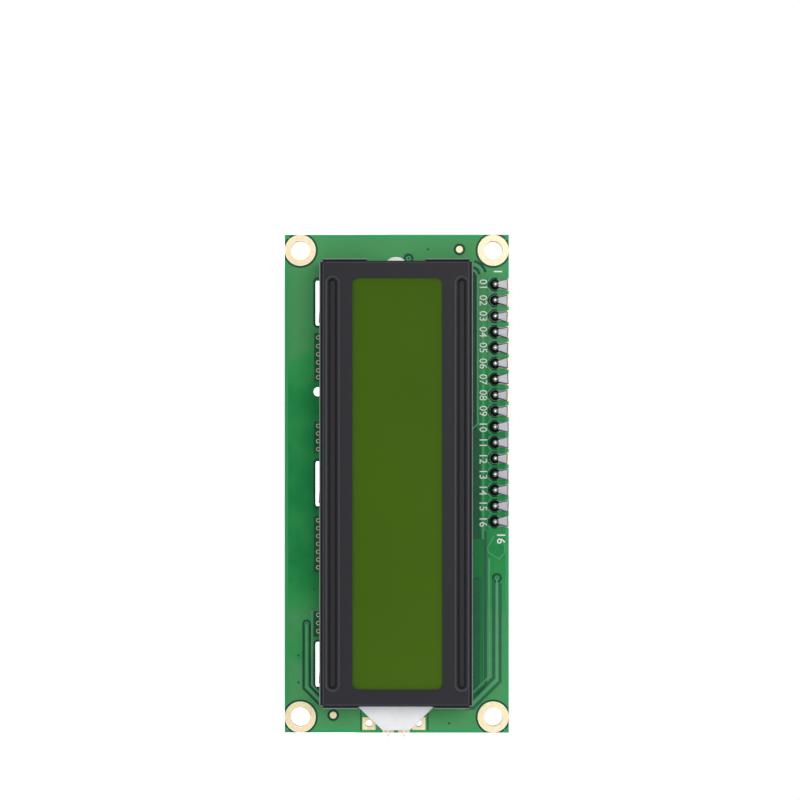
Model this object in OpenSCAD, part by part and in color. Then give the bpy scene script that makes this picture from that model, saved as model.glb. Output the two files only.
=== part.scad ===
// Character display module: a framed liquid crystal display on its own board,
// with a small serial adapter board soldered on the back.
// Each piece is drawn lying flat, with x to the right, y up the lettering and z out of
// the display, and the board's front face at z = 0. stand_up() then sets it upright.

/* [LCD board] */
// Length of the board, along the display
board_len = 80; // [79:0.5:90]
// Width of the board, up the display
board_wid = 36; // [35.5:0.5:42]
// Thickness of the board
board_t = 1.6; // [1:0.1:2.2]
// Distance of each mounting hole from the board's two edges
hole_inset = 2.5; // [2.3:0.05:2.8]
// Mounting hole diameter
hole_d = 3; // [2.4:0.1:3.4]
// Locating hole diameter
locating_d = 1.5; // [1:0.1:1.8]

/* [Bezel] */
// Distance from the board's end to the steel bezel
bezel_inset = 4.25; // [3.8:0.05:4.7]
// Outside width of the steel bezel
bezel_wid = 24.4; // [24.2:0.1:25]
// Height of the bezel's front face above the board
bezel_h = 7.5; // [6.5:0.1:9]
// How far the bezel sits above the board's middle line
bezel_shift = -0.1; // [-0.3:0.1:0.3]
// Thickness of the steel sheet
sheet_t = 0.4; // [0.3:0.05:0.6]
// Inside radius of the bezel's bends
bend_r = 0.4; // [0.2:0.1:0.8]
// Distance from the bezel's end to the window
window_inset = 3.1; // [2.7:0.05:5]
// Width of the window
window_wid = 14.3; // [12:0.1:15]
// Corner radius of the window
window_r = 1; // [0.3:0.1:2]
// Distance from the bezel's end to each pressed bead
bead_inset = 2.75; // [2:0.05:8]
// Width of each pressed bead
bead_w = 1.3; // [0.8:0.1:1.8]
// Distance from the bezel's long side to the middle of each bead
bead_edge = 1.95; // [1.8:0.05:3]
// Width of a fixing lug
lug_w = 6.3; // [4:0.1:8]
// Distance from the bezel's end to the middle of the outer lugs
lug_inset = 6.65; // [6:0.05:12]
// Turn of the lug's inner half behind the board
lug_turn_in = 48; // [20:1:60]
// Turn of the lug's outer half behind the board
lug_turn_out = 4; // [0:1:20]

/* [Display] */
// Thickness of one glass plate
glass_t = 1.1; // [0.7:0.1:1.2]
// Thickness of a polariser or diffuser film
film_t = 0.2; // [0.1:0.05:0.3]
// Clearance between the glass and the bezel's walls
glass_gap = 0.3; // [0.1:0.05:0.5]
// Width of the contact ledge along each long side of the upper glass
ledge_w = 2.5; // [2:0.1:3]
// Width of a contact strip
strip_w = 1.6; // [1:0.1:1.8]
// Distance from the bezel's end to a contact strip
strip_inset = 3.75; // [2:0.05:10]

/* [Backlight] */
// Thickness of the white tray's floor
tray_t = 0.3; // [0.2:0.05:0.6]
// Width of the tab where it leaves the bezel
tab_wide = 11.9; // [10:0.1:13]
// Width of the tab at its tip
tab_narrow = 4.3; // [4:0.1:6]
// Height of the tab above the board
tab_h = 3.4; // [3:0.1:4]
// Wall of the tab
tab_wall = 0.45; // [0.3:0.05:0.6]
// Gap between the tab's tip and the board's edge
tab_edge_gap = 0.6; // [0.4:0.1:1.5]
// Distance between the lamp's two legs
lamp_leg_pitch = 2.54; // [2:0.02:2.6]

/* [Header row] */
// Pins in the row that joins the two boards
pin_count = 16; // [14:1:16]
// Distance from the board's left edge to the first pin
header_inset_x = 8; // [7:0.1:9]
// Distance from the board's top edge to the row
header_inset_y = 2.2; // [2:0.1:2.6]
// Height of the black spacer, which is the gap between the boards
spacer_h = 2.54; // [2.5:0.05:3.5]
// Side of a square pin
pin_side = 0.64; // [0.5:0.02:0.7]
// Reach of a pin beyond each outer board face
pin_tip = 1.3; // [1:0.1:1.8]

/* [Adapter board] */
// Distance from the adapter's left edge to the first pin
adapter_side = 1.7; // [1.4:0.1:2]
// Distance from the last pin to the adapter's right edge
adapter_end = 1.6; // [1.4:0.1:2]
// Width of the adapter board
adapter_wid = 18.5; // [17.5:0.1:20]
// Thickness of the adapter board
adapter_t = 1.6; // [1:0.1:2]
// Height of the adapter's edge above the pin row
adapter_over = 1.35; // [1.2:0.05:1.8]
// Length of the expander chip's body
chip_len = 10.3; // [10:0.1:11]
// Width of the expander chip's body
chip_wid = 7.5; // [6:0.1:8]
// Height of the expander chip
chip_h = 2.35; // [1.8:0.05:2.6]

/* [Trimmer] */
// Side of the trimmer's square body
trimmer_side = 7; // [6:0.1:7.4]
// Height of the trimmer's body
trimmer_h = 4.8; // [4:0.1:6]
// Diameter of the rotor
rotor_d = 3.3; // [2.4:0.1:3.6]
// Running gap round the rotor
rotor_gap = 0.05; // [0.02:0.01:0.1]
// Depth of the well that holds the rotor
well_depth = 1.7; // [1.2:0.1:2.4]

/* [Right-angle headers] */
// Pins in the serial header
serial_pins = 4; // [3:1:5]
// Height of a right-angle pin's run above the adapter board
run_h = 3.5; // [3.2:0.1:4]
// Reach of the serial pins beyond the adapter's edge
serial_reach = 6.6; // [4:0.1:8]
// Reach of the jumper pins beyond the adapter's edge
jumper_reach = 4.3; // [3.6:0.1:4.5]
// Length of the jumper cap
cap_len = 5.9; // [5.8:0.1:7]
// Thickness of the jumper cap
cap_t = 2.5; // [2.3:0.1:2.8]

/* [Hidden] */
$fn = 48;
// Cuts run this far past the face they open, and pads are this thick
over = 0.5;
pad_t = 0.05;
pitch = 2.54;

// Colours
board_green = "#0c7a40";
pad_gold = "#ead9b2";
steel_black = "#38383d";
mask_black = "#2a2a30";
plastic_black = "#2d2d31";
solder_grey = "#b9bcbf";
pin_silver = "#d2cfc6";

// Heights of the display's layers, counted down from the bezel's front sheet
sheet_under = bezel_h - sheet_t;
upper_glass_z = sheet_under - film_t - glass_t;
lower_glass_z = upper_glass_z - glass_t;
rear_film_z = lower_glass_z - film_t;
diffuser_z = rear_film_z - film_t;

// Mounting holes, and gold rings that reach the board's edges
hole_pitch_x = board_len - 2 * hole_inset;
hole_pitch_y = board_wid - 2 * hole_inset;
ring_d = 2 * hole_inset;

// Lengths and widths of the layers
bezel_len = board_len - 2 * bezel_inset;
window_len = bezel_len - 2 * window_inset;
inside_len = bezel_len - 2 * sheet_t;
inside_wid = bezel_wid - 2 * sheet_t;
glass_len = inside_len - 2 * glass_gap;
upper_glass_wid = inside_wid - 2 * glass_gap;
lower_glass_wid = upper_glass_wid - 2 * ledge_w;
film_margin = 0.6;
strip_gap = 0.3;
strip_len = bezel_len - 2 * strip_inset;
strip_y = lower_glass_wid / 2 + strip_gap + strip_w / 2;
guide_wid = lower_glass_wid;

// Bezel: walls, end openings, corner reliefs and lugs
bend_out = bend_r + sheet_t;
corner_cut = 0.6;
end_notch_w = 9.3;
tab_gap = 0.1;
lug_flat = board_t + 0.2;
lug_turn_h = 0.9;
slot_wid = 1.5;
slot_gap = 0.75;
slot_len = lug_w + 2 * slot_gap;
wall_mid = bezel_wid / 2 - sheet_t / 2;
slot_in = 0.12;
slot_shift = -0.35;
lug_pitch = bezel_len / 2 - lug_inset;
lug_pad_wid = 2.7;
lug_pad_margin = 0.4;
lug_pad_len = lug_w + 2 * lug_pad_margin;

// The two pressed beads bear on the glass
bead_len = bezel_len - 2 * bead_inset;
bead_pitch = bezel_wid - 2 * bead_edge;
face_shift = 0.18;
bead_depth = film_t;
bead_rim = 0.15;

// A place on the LCD board, from its distance to the left or right end
function from_left_end(at) = [at[0] - board_len / 2, at[1]];
function from_right_end(at) = [board_len / 2 - at[0], at[1]];

// Small holes and marks of the LCD board
locating_at = [[-14.8, -12.65], [15.1, 11.65]];
lamp_hole_d = 1.1;
lamp_holes_at = [for (at = [[1.45, -4.45], [1.45, 3.55]]) from_right_end(at)];
lamp_pad = [2, 2.1];
fiducials_at = [from_left_end([2.35, 10.08]), from_right_end([2.8, -10.2])];
fiducial_d = 1.1;

// Light guide, and the tray's tab, which tapers from the bezel to near the board's edge
guide_len = glass_len;
tab_root = bezel_len / 2;
tab_end = board_len / 2 - tab_edge_gap;
lamp_len = 1.6;
lamp_wid = 3.1;
lamp_h = 2.1;
lamp_gap = 0.1;
lamp_end = tab_end - tab_wall - lamp_gap;
neck_end = lamp_end - lamp_len - lamp_gap;
neck_wide = tab_wide - 2 * tab_wall - 2;
leg_side = 0.4;
leg_z = tray_t + lamp_h / 2;
leg_out = board_len / 2 + 0.05;
leg_foot = 0.9;
edge_pad_len = 1.3;
edge_pad_wid = 1.8;
lamp_solder_r = 0.8;
lamp_solder_h = 0.75;
nose_w = 2.7;
nose_r = 2.85;
nose_h = 2;

// Pin row
header_x = header_inset_x - board_len / 2;
header_y = board_wid / 2 - header_inset_y;
row_len = (pin_count - 1) * pitch;
pin_hole_d = 1;
header_pad_w = 1.9;
header_pad_in = 1;
pin_taper = 0.4;
pin_point = 0.16;
solder_r = 0.85;
solder_top_r = 0.5;
solder_h = 1;
solder_flow_w = 1.4;
solder_flow_h = 0.3;
solder_flow_gap = 0.15;
spacer_notch = 0.35;

// Adapter board: its length, its corner and its rear face
adapter_len = adapter_side + row_len + adapter_end;
adapter_x = header_x - adapter_side;
adapter_y = header_y + adapter_over - adapter_wid;
adapter_front = -board_t - pad_t - spacer_h;
adapter_rear = adapter_front - adapter_t;

// Places on the adapter board, from its lower left corner. The parts to the right of the
// chip keep their distance from the right edge.
trimmer_at = [9.2, 10.7];
block_inset = 1.35;
serial_shift = 0.1;
serial_y = adapter_wid / 2 + serial_shift;
jumper_y = 10.22;
link_x = [6.56, 8.96, 11.42];
link_y = 2.99;
link_pad = [1, 0.9];
link_pad_y = 0.65;
upright_parts_from_end = [12.32, 9.75, 7.17];
upright_parts_x = [for (inset = upright_parts_from_end) adapter_len - inset];
upright_parts_y = 6.72;
level_parts_from_end = [20.16, 15.66, 11.23];
level_parts_x = [for (inset = level_parts_from_end) adapter_len - inset];
level_parts_y = 2.09;
lone_part_from_end = 9.21;
lone_part_at = [adapter_len - lone_part_from_end, 11.61];
capacitor_from_end = 11.75;
capacitor_at = [adapter_len - capacitor_from_end, 11.58];
led_from_end = 4.67;
led_at = [adapter_len - led_from_end, 6.47];
transistor_from_end = 5.65;
transistor_at = [adapter_len - transistor_from_end, 11.5];

// Places on the back of the LCD board
left_blob_at = [-12.2, -1.4];
right_blob_at = [13.25, 0.55];
blob_d = 10.7;
blob_h = 1.5;
left_parts = [[9.5, -6.47], [9.5, -4.19], [9.5, -2.2], [17.1, -4.05]];
right_part = [19.7, 12.47];
board_parts_at = [for (at = left_parts) from_left_end(at), from_right_end(right_part)];
link_at = from_right_end([8.3, 5.58]);
link_d = 1.6;
link_solder_h = 0.6;

// Pads there that carry no part
bare_parts_at = [from_left_end([17.1, -6.24])];
bare_links_at = [for (at = [[10.73, 5.58], [13.2, 5.58]]) from_right_end(at)];
bare_link_gap = 0.35;
bare_pairs_at = [for (x = [11.03, 8.7], y = [-6.19, -2.73]) from_right_end([x, y])];
bare_pair_pad = [1.26, 1.6];
bare_chip_at = [for (x = [13.7, 8.02], y = [-0.21, 1.06, 2.35, 3.61]) from_right_end([x, y])];
bare_chip_pad = [1.9, 0.63];

// Surface-mounted parts
smd_len = 2;
smd_wid = 1.25;
smd_h = 0.5;
smd_end = 0.4;
smd_fillet = 0.35;
smd_pad_len = 1;
smd_pad_wid = 1.4;
smd_pad_pitch = 2.1;
capacitor_h = 0.9;

// The chip lies midway between the trimmer and the upright parts, and between the level
// parts and the header's pads
chip_left = trimmer_at[0] + trimmer_side / 2;
chip_right = upright_parts_x[0] - smd_pad_wid / 2;
chip_below = level_parts_y + smd_pad_wid / 2;
chip_above = adapter_wid - adapter_over - header_pad_w / 2;
chip_at = [(chip_left + chip_right) / 2, (chip_below + chip_above) / 2];

// Power lamp and transistor
led_base_h = 0.35;
led_h = 0.8;
led_lens_len = 1.2;
led_lens_wid = 1.15;
sot_len = 2.9;
sot_wid = 1.3;
sot_h = 1.1;
sot_stand = 0.1;
sot_leads_x = 0.95;

// Gull-wing leads
lead_t = 0.22;
lead_w = 0.42;
lead_slant = 0.12;
lead_pad_w = 0.62;
lead_pad_over = 0.5;
lead_pitch = 1.27;
leads_a_side = 8;
lead_out = 1.4;
lead_knee = 0.35;
chip_stand = 0.15;
chip_draft = 0.15;
dimple_d = 1;
dimple_inset = 1.3;
dimple_depth = 0.1;
sot_lead_out = 0.6;
sot_lead_knee = 0.1;
sot_lead_slant = 0.06;

// Trimmer
spindle_d = 1.5;
spindle_len = 1;
cross_w = 0.64;
cross_depth = 0.6;
rotor_floor_gap = 0.05;
rotor_top_gap = 0.2;
rotor_bevel = 0.25;
trimmer_leg_d = 0.6;
trimmer_hole_d = 0.9;
trimmer_legs_at = [[-pitch, -pitch], [0, pitch], [pitch, -pitch]];

// Right-angle headers
block_wid = pitch;
block_h = pitch;
block_chamfer = 0.35;
bend_mid = 0.7;
tail_len = 0.45;
tail_solder_h = 0.4;
serial_y_first = serial_y - (serial_pins - 1) * pitch / 2;

// The lugs stop short of the tails under the adapter board
lug_clear = 0.19;
lug_reach = spacer_h + pad_t - tail_len - lug_clear;

// Jumper cap and the contact that it holds
cap_gap = 0.12;
cap_start = adapter_len + cap_gap;
cap_end = cap_start + cap_len;
cap_wid = 2 * pitch - 0.1;
cap_end_wall = 0.44;
cap_window_w = 1.4;
cap_window_len = 2.25;
cap_groove_w = 0.8;
cap_groove_at = cap_end - 1.55;
cap_groove_side = 0.25;
cap_groove_face = 0.12;
clip_w = 0.8;
clip_t = 0.18;
clip_gap = 0.03;
clip_h = pin_side + 2 * (clip_gap + clip_t);
clip_inset = 0.4;
band_len = 0.85;
band_end = cap_end - cap_end_wall;

module stand_up() rotate([90, 0, 0]) children();

// A frame on the back of the LCD board, with z away from the board
module on_board_back() translate([0, 0, -board_t]) mirror([0, 0, 1]) children();

// A frame at the adapter's lower left corner, with z away from its rear face
module on_adapter() translate([adapter_x, adapter_y, adapter_rear]) mirror([0, 0, 1]) children();

// The same corner on the side that faces the LCD board, with z towards that board
module under_adapter() translate([adapter_x, adapter_y, adapter_front]) children();

// The bezel and what it holds share one middle line
module in_bezel() translate([0, bezel_shift, 0]) children();

module at_corners(dx, dy)
    for (x = [-dx / 2, dx / 2])
        for (y = [-dy / 2, dy / 2])
            translate([x, y]) children();

module at_header_pins()
    for (i = [0 : pin_count - 1])
        translate([header_x + i * pitch, header_y, 0]) children();

// A flat slab, centred in x and y, standing on z = 0
module slab(len, wid, h) translate([-len / 2, -wid / 2, 0]) cube([len, wid, h]);

// A slot with round ends, drawn flat
module slot_outline(len, wid) {
    square([len - wid, wid], center = true);
    for (side = [-1, 1])
        translate([side * (len - wid) / 2, 0]) circle(d = wid);
}

module rounded_outline(len, wid, r) {
    square([len - 2 * r, wid], center = true);
    square([len, wid - 2 * r], center = true);
    at_corners(len - 2 * r, wid - 2 * r) circle(r = r);
}

// The six lugs, each with y pointing out of the bezel, and their slots, which leave them some play
module at_lugs()
    for (i = [-1 : 1])
        for (side = [0, 1])
            in_bezel() rotate([0, 0, side * 180]) translate([i * lug_pitch, wall_mid]) children();

module at_slots() translate([0, slot_shift]) at_lugs() translate([0, -slot_in]) children();

module at_lamp_legs()
    for (side = [-1, 1])
        translate([0, bezel_shift + side * lamp_leg_pitch / 2]) children();

// LCD board

module lcd_board() color(board_green) stand_up()
    translate([0, 0, -board_t]) linear_extrude(board_t) difference() {
        square([board_len, board_wid], center = true);
        at_corners(hole_pitch_x, hole_pitch_y) circle(d = hole_d);
        at_slots() slot_outline(slot_len, slot_wid);
        for (at = locating_at) translate(at) circle(d = locating_d, $fn = 24);
        for (at = lamp_holes_at) translate(at) circle(d = lamp_hole_d, $fn = 24);
        at_header_pins() circle(d = pin_hole_d, $fn = 24);
    }

module board_face_pads() {
    at_corners(hole_pitch_x, hole_pitch_y) difference() {
        circle(d = ring_d);
        circle(d = hole_d);
    }
    at_header_pins() difference() {
        translate([-header_pad_w / 2, -header_pad_in])
            square([header_pad_w, header_pad_in + header_inset_y]);
        circle(d = pin_hole_d, $fn = 24);
    }
    for (at = lamp_holes_at) translate(at) difference() {
        square(lamp_pad, center = true);
        circle(d = lamp_hole_d, $fn = 24);
    }
    at_lamp_legs() translate([board_len / 2 - edge_pad_len, -edge_pad_wid / 2])
        square([edge_pad_len, edge_pad_wid]);
    for (at = fiducials_at) translate(at) circle(d = fiducial_d, $fn = 24);
}

module lcd_board_pads() color(pad_gold) stand_up() {
    linear_extrude(pad_t) board_face_pads();
    on_board_back() linear_extrude(pad_t) {
        board_face_pads();
        at_slots() translate([-lug_pad_len / 2, -slot_wid / 2 - lug_pad_wid])
            square([lug_pad_len, lug_pad_wid]);
        for (at = concat(board_parts_at, bare_parts_at)) translate(at) smd_pads();
        for (at = bare_pairs_at) translate(at) square(bare_pair_pad, center = true);
        for (at = bare_chip_at) translate(at) square(bare_chip_pad, center = true);
        translate(link_at) circle(d = link_d);
        for (at = bare_links_at) translate(at) difference() {
            circle(d = link_d);
            square([link_d + over, bare_link_gap], center = true);
        }
    }
}

// Bezel

// One side wall with its bend, along x, with the wall's outer face at y = wid / 2
module wall_section(wid) {
    translate([wid / 2 - sheet_t, 0]) square([sheet_t, bezel_h - bend_out]);
    translate([wid / 2 - bend_out, bezel_h - bend_out]) intersection() {
        difference() {
            circle(r = bend_out);
            circle(r = bend_r);
        }
        square(bend_out);
    }
}

module side_wall(wid, len)
    rotate([90, 0, 90]) translate([0, 0, -len / 2]) linear_extrude(len) wall_section(wid);

// The flat front with its window, and two beads pressed down to the glass
module front_sheet() difference() {
    union() {
        translate([0, 0, sheet_under]) linear_extrude(sheet_t) difference() {
            square([bezel_len - 2 * bend_out, bezel_wid - 2 * bend_out], center = true);
            translate([0, face_shift]) rounded_outline(window_len, window_wid, window_r);
        }
        for (side = [-1, 1])
            translate([0, face_shift + side * bead_pitch / 2, sheet_under - bead_depth])
                linear_extrude(sheet_t) slot_outline(bead_len + 2 * bead_rim, bead_w + 2 * bead_rim);
    }
    for (side = [-1, 1])
        translate([0, face_shift + side * bead_pitch / 2, bezel_h - bead_depth])
            linear_extrude(over) slot_outline(bead_len, bead_w);
}

// An end wall and the opening in it, which also trims the front sheet level with the wall's inside
module end_wall() rotate([0, 0, -90]) side_wall(bezel_len, bezel_wid - 2 * corner_cut);

module end_opening(opening) {
    translate([bezel_len / 2 - bend_out - over, -opening / 2, -over])
        cube([bend_out + 2 * over, opening, sheet_under + over]);
    translate([inside_len / 2, -opening / 2, -over])
        cube([sheet_t + over, opening, bezel_h + 2 * over]);
}

// A lug passes straight through the board, then its two halves are turned unequally
module lug() {
    translate([-lug_w / 2, -sheet_t / 2, -lug_flat]) cube([lug_w, sheet_t, lug_flat]);
    lug_half(1, lug_turn_in);
    lug_half(-1, lug_turn_out);
}

module lug_half(side, turn) {
    translate([0, 0, -lug_flat]) mirror([0, 0, 1])
        linear_extrude(lug_turn_h, twist = turn, slices = 6)
            translate([side * lug_w / 4, 0]) square([lug_w / 2, sheet_t], center = true);
    rotate([0, 0, -turn]) translate([side * lug_w / 4, 0, -board_t - lug_reach])
        slab(lug_w / 2, sheet_t, lug_reach + board_t - lug_flat - lug_turn_h);
}

module bezel() color(steel_black) stand_up() {
    in_bezel() difference() {
        union() {
            front_sheet();
            for (side = [0, 1]) mirror([0, side, 0]) side_wall(bezel_wid, bezel_len - 2 * corner_cut);
            for (side = [0, 1]) mirror([side, 0, 0]) end_wall();
        }
        end_opening(tab_wide + 2 * tab_gap);
        mirror([1, 0, 0]) end_opening(end_notch_w);
    }
    at_lugs() lug();
}

// Display

module film(len, wid, z, t) in_bezel() translate([0, 0, z]) slab(len, wid, t);

module front_polariser() color("#5f7a33") stand_up() translate([0, face_shift, 0])
    film(window_len + 2 * film_margin, window_wid + 2 * film_margin, sheet_under - film_t, film_t);

module upper_glass() color("#9db8a0", 0.5) stand_up()
    film(glass_len, upper_glass_wid, upper_glass_z, glass_t);

module lower_glass() color("#8fb07c", 0.5) stand_up()
    film(glass_len, lower_glass_wid, lower_glass_z, glass_t);

module rear_polariser() color("#6d8a3a") stand_up()
    film(glass_len - 2 * film_margin, lower_glass_wid - 2 * film_margin, rear_film_z, film_t);

module diffuser_film() color("#e9efe0") stand_up()
    film(glass_len - film_margin, guide_wid - film_margin, diffuser_z, film_t);

module contact_strip(side) in_bezel() translate([0, side * strip_y, 0])
    slab(strip_len, strip_w, upper_glass_z);

module contact_strip_upper() color("#d88a92") stand_up() contact_strip(1);
module contact_strip_lower() color("#d88a92") stand_up() contact_strip(-1);

// Backlight

module light_guide() color("#dfe8cf") stand_up() in_bezel() translate([0, 0, tray_t]) {
    slab(guide_len, guide_wid, diffuser_z - tray_t);
    linear_extrude(lamp_h) polygon([
        [guide_len / 2 - over, neck_wide / 2],
        [guide_len / 2, neck_wide / 2],
        [neck_end, lamp_wid / 2],
        [neck_end, -lamp_wid / 2],
        [guide_len / 2, -neck_wide / 2],
        [guide_len / 2 - over, -neck_wide / 2]]);
}

// The tab's outline, drawn in by a margin all round, from a start inside the bezel
module tab_outline(start, margin) polygon([
    [start, tab_wide / 2 - margin],
    [tab_root, tab_wide / 2 - margin],
    [tab_end - margin, tab_narrow / 2 - margin / 2],
    [tab_end - margin, margin / 2 - tab_narrow / 2],
    [tab_root, margin - tab_wide / 2],
    [start, margin - tab_wide / 2]]);

// The nose fills the room at the other end, and its foot runs on into the tray's floor
module nose_outline(reach) intersection() {
    translate([nose_r - bezel_len / 2, 0]) circle(r = nose_r);
    translate([-bezel_len / 2, -nose_w / 2]) square([reach, nose_w]);
}

module tray_nose() {
    end_room = (bezel_len - guide_len) / 2;
    linear_extrude(nose_h) nose_outline(end_room);
    linear_extrude(tray_t) nose_outline(end_room + over);
}

module backlight_tray() color("#e3e4e8") stand_up() in_bezel() {
    slab(guide_len, guide_wid, tray_t);
    translate([0, 0, pad_t]) linear_extrude(tray_t - pad_t) tab_outline(guide_len / 2 - over, 0);
    difference() {
        translate([0, 0, pad_t]) linear_extrude(tab_h - pad_t) tab_outline(guide_len / 2, 0);
        translate([0, 0, tray_t]) linear_extrude(tab_h - tray_t - tab_wall)
            tab_outline(guide_len / 2 - over, tab_wall);
        for (side = [-1, 1])
            translate([tab_end - tab_wall / 2, side * lamp_leg_pitch / 2, leg_z])
                cube([3 * tab_wall, leg_side, leg_side], center = true);
    }
    tray_nose();
}

module backlight_lamp() color("#f2e7a0") stand_up() in_bezel()
    translate([lamp_end - lamp_len / 2, 0, tray_t]) slab(lamp_len, lamp_wid, lamp_h);

// A leg runs out over the board's edge, down past it and back under the pad behind
module lamp_leg() {
    leg_low = -board_t - pad_t - leg_side;
    translate([lamp_end, -leg_side / 2, leg_z - leg_side / 2])
        cube([leg_out + leg_side - lamp_end, leg_side, leg_side]);
    translate([leg_out, -leg_side / 2, leg_low])
        cube([leg_side, leg_side, leg_z - leg_low]);
    translate([leg_out - leg_foot, -leg_side / 2, leg_low])
        cube([leg_foot, leg_side, leg_side]);
}

module backlight_legs() color(pin_silver) stand_up() at_lamp_legs() lamp_leg();

// A low dome of the given base radius and height
module dome(r, h) intersection() {
    sphere_r = (r * r + h * h) / (2 * h);
    translate([0, 0, h - sphere_r]) sphere(r = sphere_r, $fn = 96);
    slab(2 * r, 2 * r, h);
}

module backlight_solder() color(solder_grey) stand_up() at_lamp_legs() difference() {
    translate([board_len / 2 - lamp_solder_r, 0, 0]) on_board_back()
        translate([0, 0, pad_t]) dome(lamp_solder_r, lamp_solder_h);
    lamp_leg();
}

// Parts on the back of the LCD board

module driver_blob(at) color("#141418") stand_up() on_board_back()
    translate(at) dome(blob_d / 2, blob_h);

module driver_blob_left() driver_blob(left_blob_at);
module driver_blob_right() driver_blob(right_blob_at);

// A chip part lies along x on its two pads
module smd_body(h = smd_h) translate([0, 0, pad_t])
    slab(smd_len - 2 * smd_end, smd_wid, h);

module smd_ends(h = smd_h) for (side = [0, 1]) mirror([side, 0, 0])
    translate([smd_len / 2, smd_wid / 2, pad_t]) rotate([90, 0, 0]) linear_extrude(smd_wid) polygon([
        [-smd_end, 0], [smd_fillet, 0], [smd_fillet / 3, h / 3], [0, 0.8 * h], [0, h], [-smd_end, h]]);

module smd_pads() for (side = [-1, 1])
    translate([side * smd_pad_pitch / 2, 0]) square([smd_pad_len, smd_pad_wid], center = true);

module board_resistors() color(plastic_black) stand_up() on_board_back()
    for (at = board_parts_at) translate(at) smd_body();

module board_resistor_ends() color(solder_grey) stand_up() on_board_back()
    for (at = board_parts_at) translate(at) smd_ends();

module link_solder() color(solder_grey) stand_up() on_board_back()
    translate(link_at) translate([0, 0, pad_t]) dome(link_d / 2, link_solder_h);

// Header row

module bar_profile(len) polygon([
    [0, -pin_side / 2],
    [len - pin_taper, -pin_side / 2],
    [len, pin_point - pin_side / 2],
    [len, pin_side / 2 - pin_point],
    [len - pin_taper, pin_side / 2],
    [0, pin_side / 2]]);

// A square bar along x with a tapered tip
module pin_bar(len) intersection() {
    linear_extrude(pin_side, center = true) bar_profile(len);
    rotate([90, 0, 0]) linear_extrude(pin_side, center = true) bar_profile(len);
}

module pin_hole(h) slab(pin_side, pin_side, h);

module header_spacer() color(plastic_black) stand_up() difference() {
    translate([header_x + row_len / 2, header_y, adapter_front])
        slab(row_len + pitch, pitch, spacer_h);
    translate([0, 0, adapter_front - over]) {
        at_header_pins() pin_hole(spacer_h + 2 * over);
        for (i = [0 : pin_count - 2], side = [-1, 1])
            translate([header_x + (i + 0.5) * pitch, header_y + side * pitch / 2, 0]) rotate([0, 0, 45])
                slab(spacer_notch, spacer_notch, spacer_h + 2 * over);
    }
}

module header_pins() color(pin_silver) stand_up() at_header_pins() {
    middle = -board_t - spacer_h / 2;
    translate([0, 0, middle]) rotate([0, -90, 0]) pin_bar(pin_tip - middle);
    translate([0, 0, middle]) rotate([0, 90, 0]) pin_bar(middle - adapter_rear + pin_tip);
}

// A hollow-sided cone of solder round a square pin, standing on its pad
module solder_cone(r, h) difference() {
    translate([0, 0, pad_t]) rotate_extrude() polygon([
        [0, 0],
        for (i = [0 : 5]) [solder_top_r + (r - solder_top_r) * pow(1 - i / 5, 2), h * i / 5],
        [0, h]]);
    pin_hole(h + over);
}

module header_solder_front() color(solder_grey) stand_up() at_header_pins() {
    solder_cone(solder_r, solder_h);
    difference() {
        translate([-solder_flow_w / 2, 0, pad_t])
            cube([solder_flow_w, header_inset_y - solder_flow_gap, solder_flow_h]);
        pin_hole(solder_flow_h + over);
    }
}

module header_solder_rear() color(solder_grey) stand_up() at_header_pins()
    translate([0, 0, adapter_rear]) mirror([0, 0, 1]) solder_cone(solder_r, solder_h);

// Adapter board

module at_trimmer_legs() translate(trimmer_at)
    for (at = trimmer_legs_at) translate(at) children();

module at_serial_pins()
    for (i = [0 : serial_pins - 1])
        translate([block_inset, serial_y_first + i * pitch]) children();

module at_jumper_pins()
    for (side = [-1, 1])
        translate([adapter_len - block_inset, jumper_y + side * pitch / 2]) children();

module adapter_board() color(mask_black) stand_up()
    translate([0, 0, adapter_rear]) linear_extrude(adapter_t) difference() {
        translate([adapter_x, adapter_y]) square([adapter_len, adapter_wid]);
        at_header_pins() circle(d = pin_hole_d, $fn = 24);
        translate([adapter_x, adapter_y]) {
            at_serial_pins() circle(d = pin_hole_d, $fn = 24);
            at_jumper_pins() circle(d = pin_hole_d, $fn = 24);
            at_trimmer_legs() circle(d = trimmer_hole_d, $fn = 24);
        }
    }

module at_upright_parts() for (x = upright_parts_x)
    translate([x, upright_parts_y]) rotate([0, 0, 90]) children();

module at_level_parts() for (x = level_parts_x)
    translate([x, level_parts_y]) children();

module at_resistors() {
    at_upright_parts() children();
    at_level_parts() children();
    translate(lone_part_at) rotate([0, 0, 90]) children();
}

module at_capacitor() translate(capacitor_at) rotate([0, 0, 90]) children();

module at_power_led() translate(led_at) rotate([0, 0, 90]) children();

// The chip's leads, each with x pointing away from the body
module at_chip_leads() translate(chip_at)
    for (side = [0, 1], i = [0 : leads_a_side - 1])
        rotate([0, 0, side * 180])
            translate([chip_wid / 2, (i - (leads_a_side - 1) / 2) * lead_pitch]) children();

module at_transistor_leads() translate(transistor_at) {
    for (side = [-1, 1]) translate([side * sot_leads_x, -sot_wid / 2]) rotate([0, 0, -90]) children();
    translate([0, sot_wid / 2]) rotate([0, 0, 90]) children();
}

module lead_pad(out) translate([out / 2, -lead_pad_w / 2])
    square([out / 2 + lead_pad_over, lead_pad_w]);

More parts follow.
